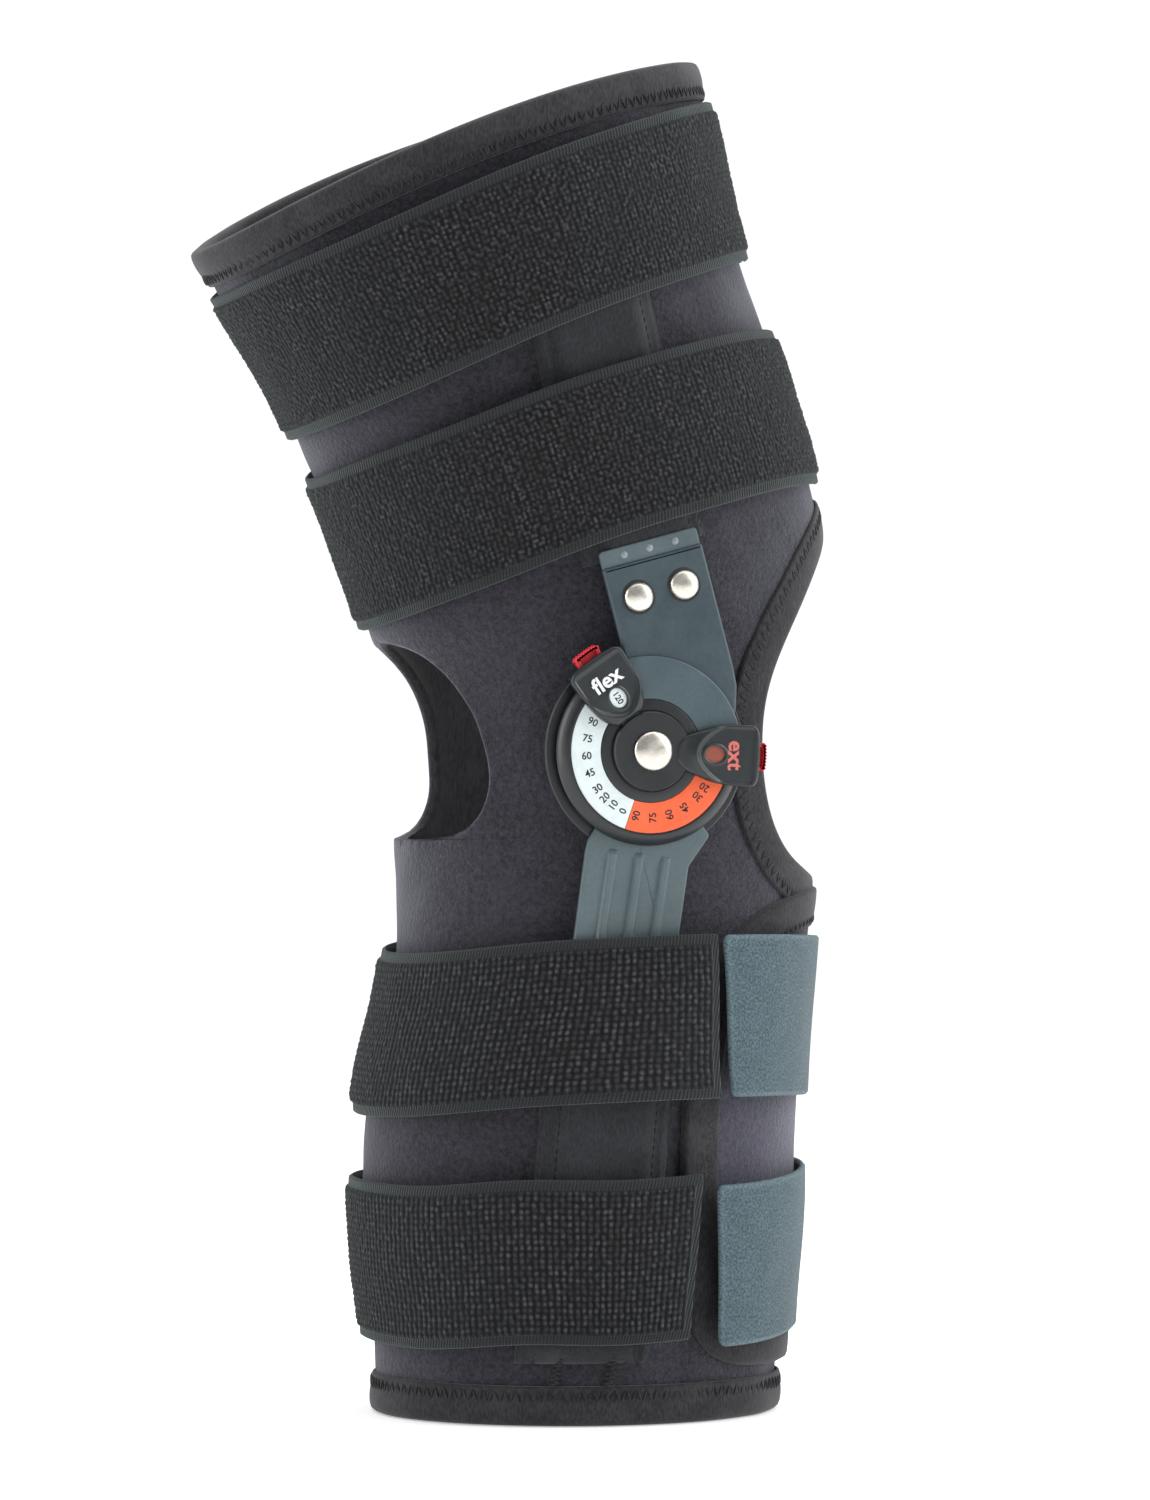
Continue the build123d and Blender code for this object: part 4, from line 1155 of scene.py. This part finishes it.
def lettering(name, words, material, side, level, bold=0.0):
    """Flat characters from (text, size, radius, angle round the dial, turn from upright on the radius)."""
    made = []
    for text, size, radius, angle, turn in words:
        curve = bpy.data.curves.new(name, "FONT")
        curve.body, curve.size, curve.align_x, curve.align_y = text, size, "CENTER", "CENTER"
        curve.offset, curve.extrude, curve.resolution_u = bold, 0.03, 3
        obj = bpy.data.objects.new(name, curve)
        mesh = bpy.data.meshes.new_from_object(obj)
        points = np.array([v.co for v in mesh.vertices])
        faces = [list(p.vertices) for p in mesh.polygons]
        a, b = math.radians(angle), math.radians(angle + turn)
        gx, gy = points[:, 0] * -side, points[:, 1]
        right = np.array([math.cos(b), math.sin(b)])
        up = np.array([-math.sin(b), math.cos(b)])
        flat = radius * np.array([math.cos(a), math.sin(a)]) + gx[:, None] * right + gy[:, None] * up
        height = level(flat) if callable(level) else level
        made.append(new_mesh(f"{name}_{text}", on_dial(0, side, flat, height + points[:, 2]), faces, material,
                             False))
        bpy.data.objects.remove(obj)
        bpy.data.curves.remove(curve)
    obj = join(made, name)
    fix_normals(obj)
    return obj


def dome(radius, level, height, steps=9):
    """Profile of a domed head, from its rim's foot to the top."""
    profile = [(radius, level), (radius, level + 0.35)]
    for k in range(1, steps + 1):
        f = k / steps * PI / 2
        profile.append((radius * math.cos(f), level + 0.35 + height * math.sin(f)))
    profile[-1] = (0.05, level + 0.35 + height)
    return profile


def make_upper_arm(side):
    """Upper arm with its rivets and pins, the printed dial that stands on it, and the disc behind."""
    who = SIDE_NAMES[side]
    low, high = UPPER_ARM
    outline = [(1.5, -6, 0), (14, -12, 0), (24, -4, 0), (29.6, 5.5, 0), (31.6, 12, 0), (ARM_WIDTH, 18, 0),
               (ARM_WIDTH, ARM_LENGTH - LIP, 0.8), (0, ARM_LENGTH - LIP, 0.8), (0, 8, 0)]
    lip = [(0.3, 50, 0), (ARM_WIDTH - 0.3, 50, 0), (ARM_WIDTH - 0.3, ARM_LENGTH, 1.2),
           (0.3, ARM_LENGTH, 1.2)]
    # a thin black ring round each arm rivet's foot: painted shade for the shadowed gap round the rivet heads
    ring_band = [(5.25, 64.9), (5.25, 65.1), (5.05, 65.16), (4.3, 65.1), (4.2, 64.9)]
    parts = [plate("arm", rounded(outline), low, high, 0.75, ARM_DARK, ARM_ANGLE, side),
             plate("lip", rounded(lip), low, high - 0.9, 0.35, ARM_LIGHT, ARM_ANGLE, side)]
    parts += [ring_solid("ring_band", lathed(ring_band, side, 72, centre, ARM_ANGLE), DIAL_BLACK)
              for centre in ARM_RIVETS]
    fit(join(parts, f"{who}_upper_arm_plate"), "thigh", "arm_dark", f"{who}_upper_arm")
    dial = [(4.2, 62.7), (28.2, 62.7), (28.5, 63.0), (28.5, 63.7), (28.1, 64.4), (27.3, 65.2), (26.5, 66.0),
            (25.9, 66.4), (25.2, 66.55), (24.85, 66.45), (24.78, 66.0), (15.5, 66.0), (15.42, 66.45),
            (15.1, 66.55), (12.4, 66.55), (12.2, 66.3), (4.2, 66.3)]
    fit(turned_ring(f"{who}_dial", dial, DIAL_BLACK, side), "thigh", "knob_plastic")
    fit(sector_plate(f"{who}_dial_sector", LABEL_R[0] - 0.05, 28.6, *PLAIN_SPAN, 65.0, 66.68, SECTOR_PAINT,
                     0, side, bevel=0.55), "thigh", "arm_dark")
    disc = [(3.2, 58.45), (30.8, 58.45), (31.1, 58.7), (31.1, 59.6), (30.7, 60.0), (29.6, 60.05),
            (3.2, 60.05)]
    fit(turned_ring(f"{who}_disc", disc, DIAL_BLACK, side), "thigh", "stay_alloy", f"{who}_back_disc")
    for colour, span, m, scale in (("white", WHITE_SPAN, WHITE_PRINT, "flexion_scale"),
                                   ("orange", ORANGE_SPAN, ORANGE_PRINT, "extension_scale")):
        fit(sector_plate(f"{who}_{colour}_scale", *LABEL_R, *span, 65.9, 66.3, m, 0, side, bevel=0.05),
            "thigh", f"print_{colour}", f"{who}_{scale}")
    upright = 180 if side == LATERAL else 360
    numbers = [(str(v), NUMBER_SIZE, NUMBER_R, zero - v, upright)
               for values, zero in ((WHITE_NUMBERS, WHITE_ZERO), (ORANGE_NUMBERS, ORANGE_ZERO))
               for v in values]
    fit(lettering(f"{who}_numbers", numbers, INK, side, NUMBER_LEVEL, 0.05), "thigh", "knob_plastic")
    fit(turned(f"{who}_rivet_head", dome(5.95, 68.85, 1.9), NICKEL, side), "thigh", "rivet_nickel",
        f"{who}_centre_rivet")
    heads = [turned("head", dome(4.5, 65.0, 2.0), NICKEL, side, 72, centre, ARM_ANGLE)
             for centre in ARM_RIVETS]
    fit(join(heads, f"{who}_rivet_domes"), "thigh", "rivet_nickel", f"{who}_arm_rivets")
    pins = [turned("pin", [(1.1, 63.9), (1.1, 64.15), (0.8, 64.34), (0.05, 64.4)], PIN_PAINT, side, 32,
                   (ARM_WIDTH / 2 + p, ARM_LENGTH - LIP / 2), ARM_ANGLE) for p in (-8.2, 0, 8.2)]
    fit(join(pins, f"{who}_pin_heads"), "thigh", "rivet_nickel", f"{who}_stay_pins")


def on_lower_arm(s, p):
    """Places in the hinge's plane: s down the lower arm, p across it."""
    a = math.radians(LOWER_ANGLE)
    s, p = np.asarray(s, float)[..., None], np.asarray(p, float)[..., None] + LOWER_MIDDLE
    return s * (math.cos(a), math.sin(a)) + p * (-math.sin(a), math.cos(a))


def make_lower_arm(side):
    """Lower arm: a round head under the dial, two stop shoulders, three pressed ribs and a tapering foot."""
    low, high = LOWER_ARM
    back, front = ((32.2 * math.cos(a), 32.2 * math.sin(a)) for a in np.radians((235.8, 307.6)))
    outline = [(*on_lower_arm(68, -16), 0), (*on_lower_arm(68, 16), 0), (*on_lower_arm(32.5, 16), 2.2),
               (*front, 1.3), (10, -12, 0), (-10, -14, 0), (*back, 1.2), (*on_lower_arm(32.5, -16.4), 1.5)]
    stay = [(*on_lower_arm(s, p), 0) for s, p in ((60, -STAY_HALF), (60, STAY_HALF), (30, STAY_HALF),
                                                  (30, -STAY_HALF))]
    parts = [plate("lower", rounded(outline), low, high, 0.6, ARM_LIGHT, 0, side),
             plate("stay", rounded(stay), low + 0.1, high - 0.2, 0.3, ARM_LIGHT, 0, side)]
    parts += [pressed_rib(middle, side) for middle in (-8.1, 0.2, 8.5)]
    who = SIDE_NAMES[side]
    fit(join(parts, f"{who}_lower_arm_plate"), "shin", "arm_light", f"{who}_lower_arm")


def pressed_rib(middle, side):
    """Raised bead with a rounded top and soft flanks."""
    s, p = np.meshgrid(np.linspace(30.5, 66.0, 60), np.linspace(-2.6, 2.6, 21), indexing="ij")
    rise = 1.15 * np.exp(-(p / 1.45) ** 6) * smoothstep(30.5, 32.5, s)
    points = on_lower_arm(s, p + middle)
    outer = on_dial(0, side, points, LOWER_ARM[1] - 0.06 + rise)
    inner = on_dial(0, side, points, np.full(rise.shape, LOWER_ARM[1] - 0.5))
    return slab("rib", outer, inner, 1, ARM_LIGHT)


def knob_outline(tip):
    """Shield shape: narrow by the hub, full by the rim. tip is where it starts, from the hub's axis."""
    half = [(tip, 2.2), (tip + 1.9, 4.6)] if tip < 10 else [(tip, 4.4), (tip + 1.6, 6.1)]
    half += [(13.6, 6.5)] if tip < 10 else []
    curve = spline(half + [(18.0, 8.1), (23.5, 9.0), (29.0, 9.4), (31.8, 9.0), (33.0, 7.2)], 60)
    upper = np.concatenate([curve, [(33.25, 5.0), (33.35, 2.5), (33.4, 0.0)]])
    return np.concatenate([upper, (upper[::-1] * (1, -1))[1:]])[::-1]


def about(outline, centre, count):
    """Points of a star-shaped closed outline at even angles about a centre."""
    d = dense(outline, 0.25) - centre
    turn = np.arctan2(d[:, 1], d[:, 0])
    order = np.argsort(turn)
    at = np.linspace(-PI, PI, count, endpoint=False)
    return at, np.interp(at, turn[order], np.linalg.norm(d, axis=1)[order], period=2 * PI)


WINDOW = (19.3, 3.1, 2.5)               # how far out its middle is, and its half sizes along and across
ARCH_TIP, ARCH_OPEN = 13.2, 0.092       # the raised arch round the window: its tip, and how it opens


def knob_height(flat):
    """Relief of a knob's face: an arched ridge with a sunk floor inside it and slopes outside."""
    along, across = flat[..., 0], flat[..., 1]
    slant = np.sqrt(1 + (2 * ARCH_OPEN * across) ** 2)
    d = (along - ARCH_TIP - ARCH_OPEN * across ** 2) / slant
    slope = -0.6 * smoothstep(0.4, -3.6, d)
    ridge = 0.42 * np.exp(-(d / 0.72) ** 2) * smoothstep(31.5, 26.0, along)
    sunk = (-0.38 * smoothstep(0.5, 1.7, d) * smoothstep(32.0, 30.6, along)
            * smoothstep(8.9, 7.9, np.abs(across)))
    from_window = np.hypot((along - WINDOW[0]) / WINDOW[1], across / WINDOW[2])
    ring_band = 0.30 * np.exp(-((from_window - 1.16) / 0.13) ** 2)
    return slope + ridge + sunk + ring_band


def in_knob(flat, angle):
    """The same places seen along and across a knob."""
    a = math.radians(angle)
    return np.stack([flat[..., 0] * math.cos(a) + flat[..., 1] * math.sin(a),
                     flat[..., 1] * math.cos(a) - flat[..., 0] * math.sin(a)], -1)


def make_knob(side, which, angle, tip, eye, scale, window_colour, word, word_colour, word_slot):
    """Stop knob: a shield on an eye round the hub, with its window, word, button and spring."""
    who = f"{SIDE_NAMES[side]}_{which}"
    body = f"{who}_stop"
    centre = np.array([WINDOW[0], 0.0])
    turn, reach = about(knob_outline(tip), centre, 176)
    ray = np.stack([np.cos(turn), np.sin(turn)], -1)
    outline = centre + ray * reach[:, None]
    hole = centre + ray * np.array(WINDOW[1:])
    low, high = KNOB_LEVEL
    rings = [on_dial(angle, side, inset(outline, 0.3), low), on_dial(angle, side, outline, low + 0.3)]
    for f in np.linspace(0, PI / 2, 6):
        flat = inset(outline, KNOB_ROUND * (1 - math.cos(f)))
        rings.append(on_dial(angle, side, flat,
                             high - KNOB_ROUND + KNOB_ROUND * math.sin(f) + knob_height(flat)))
    start = inset(outline, KNOB_ROUND)
    for share in np.linspace(0, 1, 40)[1:]:
        flat = start + (hole - start) * share
        rings.append(on_dial(angle, side, flat, high + knob_height(flat)))
    rings.append(on_dial(angle, side, hole, high - 1.6))
    hub = [(4.3, eye[0]), (11.3, eye[0]), (11.75, eye[0] + 0.15), (11.8, eye[1] - 0.3), (11.5, eye[1]),
           (4.3, eye[1])]
    neck = [(10.5, -3, 0), (14.5, -3, 0), (14.5, 3, 0), (10.5, 3, 0)]
    parts = [sharpen(skinned("knob", np.array(rings), KNOB_BLACK), 50),
             turned_ring("hub", hub, DIAL_BLACK, side, 120),
             plate("neck", rounded(neck), eye[0], eye[1] - 0.02, 0.1, DIAL_BLACK, angle, side)]
    for name, outer, begin, end, bevel in (("skirt", 33.1, -15, -8.4, 0.5), ("skirt", 33.1, 8.4, 15, 0.5),
                                           ("bridge", BRIDGE_OUT, -14, 14, 0.3)):
        parts.append(sector_plate(name, 28.9, outer, begin, end, SKIRT_LOW, low + 0.8, KNOB_BLACK, angle,
                                  side, bevel=bevel))
    fit(join(parts, f"{who}_knob_body"), body, "knob_plastic", f"{who}_knob")
    # the pane shows the scale's print under the window; the extension knob's pane is painted darker, as
    # painted shade inside the hole
    rim = centre + ray * (np.array(WINDOW[1:]) + 0.1)
    count = len(rim)
    pane = new_mesh(f"{who}_window",
                    np.concatenate([on_dial(angle, side, rim, high - sunk) for sunk in (0.75, 1.2)]),
                    grid_faces(2, count, closed_columns=True).tolist()
                    + [list(range(count)), list(range(2 * count - 1, count - 1, -1))], window_colour, False)
    fix_normals(pane)
    fit(pane, body, scale)
    label = lettering(f"{who}_word", [(word, WORD_SIZE, WORD_R, angle, -90 if side == LATERAL else 90)],
                      word_colour, side, lambda flat: high + knob_height(in_knob(flat, angle)) + 0.03, 0.16)
    fit(label, body, word_slot)
    if which == "flexion":
        number = [("120", 2.7, WINDOW[0], angle, 180 if side == LATERAL else 0)]
        fit(lettering(f"{SIDE_NAMES[side]}_window_number", number, INK, side, high - 0.72, 0.05), body,
            "knob_plastic")
    fit(make_button(who, side, angle), f"{who}_release", "button_red", f"{who}_button")
    spring = make_spring(who, side, angle)
    fit(spring, body, "spring_steel", f"{who}_button_spring")
    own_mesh(spring)


def make_button(who, side, angle):
    """Push button: a ribbed band round the rim on two legs, with a recess behind it."""
    half = 6.9
    turn = np.radians(np.linspace(-half, half, 97))
    end = smoothstep(math.radians(half), math.radians(6.0), np.abs(turn))
    radius = 36.3 - 0.7 * (1 - end) - 0.20 * (1 + np.cos(turn / math.radians(2 * half) * 2 * PI * 9)) * end
    out = np.stack([radius * np.cos(turn), radius * np.sin(turn)], -1)
    back = np.stack([34.9 * np.cos(turn[::-8]), 34.9 * np.sin(turn[::-8])], -1)
    parts = [plate("band", np.concatenate([out, back]), 63.05, 67.15, 0.35, BUTTON_RED, angle, side),
             sector_plate("base", 31.4, 35.1, -6.6, 6.6, 63.1, 65.2, BUTTON_RED, angle, side, bevel=0.2)]
    for begin, end in ((-half, -4.9), (4.9, half)):
        parts.append(sector_plate("leg", 31.6, 35.3, begin, end, 63.2, 66.5, BUTTON_RED, angle, side,
                                  bevel=0.35))
    return join(parts, f"{who}_push")


def make_spring(who, side, angle):
    """Bowed spring leaf behind a button."""
    q = np.linspace(-3, 3, 31)
    r = SPRING_FOOT + 1.15 * np.cos(q * PI / 6)
    rings = [on_dial(angle, side, np.stack([r + out, q], -1), level)
             for out, level in ((0, 64.2), (0.3, 64.2), (0.3, 66.0), (0, 66.0))]
    return skinned(f"{who}_leaf", np.stack(rings, 1), STEEL)


# ---------------------------------------------------------------- making everything
wrap = make_sleeve()
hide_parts(*(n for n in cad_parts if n.endswith(("thigh_wrap", "shin_wrap", "knee_panel"))))
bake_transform(wrap)

for end, args, body in (("top", (*TOP_HEM, TOP_LEAN, -1), "thigh"),
                        ("bottom", (BOTTOM_HEM, 0.0, 0.0, 1), "shin")):
    tape, thread = hem_tape(f"{end}_hem", *args)
    fit(tape, body, "binding_tape", f"{end}_binding")
    fit(thread, body, "binding_tape")

patella_profile = wrapped_profile(12.0, NEOPRENE, 1.1, 0.4)
patella_tape, patella_thread = tape_round("patella_tape", PATELLA_EDGE, patella_profile, 1)
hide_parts("patella_binding")
for piece in (patella_tape, patella_thread):
    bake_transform(piece)

make_flap()
for side in (LATERAL, MEDIAL):
    make_pocket(side, "upper", "thigh")
    make_pocket(side, "lower", "shin")
for number, strap in enumerate(STRAPS):
    make_strap(strap, 60 + number, 0.25 if strap[1] == "thigh" else 0.13)
    make_tab(strap, 70 + number)

for side in (LATERAL, MEDIAL):
    make_upper_arm(side)
    make_lower_arm(side)
    make_knob(side, "flexion", FLEXION_ANGLE, 12.2, (66.8, 67.6), "print_white", WHITE_PRINT,
              "flex", WHITE_INK, "print_white")
    # the extension window's pane is painted dark red: painted shade over the orange print
    make_knob(side, "extension", EXTENSION_ANGLE, 7.5, (67.8, 68.6), "print_orange", PAINTED_SHADE_WINDOW,
              "ext", RED_INK, "button_red")
    for kept, m in (("upper_stay", ALLOY), ("pivot_bush", STEEL)):
        cad = bpy.data.objects[f"{SIDE_NAMES[side]}_{kept}"]
        cad.data.materials.clear()
        cad.data.materials.append(m)


# ---------------------------------------------------------------- stage, light and camera
def floor_paper():
    """Pale studio floor that glows a little, as a lit sweep does."""
    m, _, bsdf = shader("floor_paper")
    for socket, value in (("Base Color", (0.9, 0.9, 0.9, 1)), ("Roughness", 0.95),
                          ("Specular IOR Level", 0.0), ("Emission Color", (1, 1, 1, 1)),
                          ("Emission Strength", 0.36)):
        bsdf.inputs[socket].default_value = value
    return m


bpy.ops.mesh.primitive_plane_add(size=120, location=(0, 0, cad_box[0][2] - 0.0005))
floor = bpy.context.object
floor.name = "floor"
floor.data.materials.append(floor_paper())

world = bpy.data.worlds.new("studio")
bpy.context.scene.world = world
world.use_nodes = True
sky = world.node_tree
background = sky.nodes["Background"]
background.inputs["Color"].default_value = (1, 1, 1, 1)
VIEW_TURN = math.radians(15)                # the photograph is taken from this far behind square-on
LOOK = Vector((math.sin(VIEW_TURN), math.cos(VIEW_TURN), 0))
RIGHT = Vector((math.cos(VIEW_TURN), -math.sin(VIEW_TURN), 0))
direction = node(sky, "ShaderNodeTexCoord").outputs["Generated"]
facing = node(sky, "ShaderNodeVectorMath", {"operation": "DOT_PRODUCT"}, i0=direction,
              i1=tuple(LOOK)).outputs["Value"]
glow = node(sky, "ShaderNodeMapRange", Value=facing, i1=-1.0, i2=0.5, i3=0.35, i4=1.0).outputs[0]
seen = node(sky, "ShaderNodeLightPath").outputs["Is Camera Ray"]
strength = node(sky, "ShaderNodeMix", {"data_type": "FLOAT"}, i0=seen, i2=glow, i3=1.05).outputs[0]
sky.links.new(strength, background.inputs["Strength"])


def area_light(name, where, size, power):
    """Soft box that faces the middle of the brace."""
    data = bpy.data.lights.new(name, "AREA")
    data.shape, data.size, data.size_y, data.energy = "RECTANGLE", size[0], size[1], power
    obj = bpy.data.objects.new(name, data)
    obj.location = where
    obj.rotation_euler = (Vector() - Vector(where)).to_track_quat("-Z", "Y").to_euler()
    bpy.context.scene.collection.objects.link(obj)


area_light("key", tuple(RIGHT * 1.5 - LOOK * 0.5 + Vector((0, 0, 0.8))), (0.7, 1.6), 21)
area_light("fill", tuple(RIGHT * -1.5 - LOOK * 0.5 + Vector((0, 0, 0.4))), (0.5, 1.5), 12)
area_light("top", (0, 0, 1.7), (1.6, 1.6), 14)

# the camera stands level with the hinge, a little behind square-on
DISTANCE = 2.0
target = RIGHT * -0.0056 + Vector((0, 0, 0.0003))
camera_data = bpy.data.cameras.new("camera")
camera = bpy.data.objects.new("camera", camera_data)
bpy.context.scene.collection.objects.link(camera)
camera.location = target - LOOK * DISTANCE
camera.rotation_euler = LOOK.to_track_quat("-Z", "Y").to_euler()
camera_data.sensor_fit, camera_data.sensor_height, camera_data.lens = "VERTICAL", 24.0, 103.2
camera_data.clip_end = 60
bpy.context.scene.camera = camera
bpy.context.scene.view_settings.view_transform = "Standard"
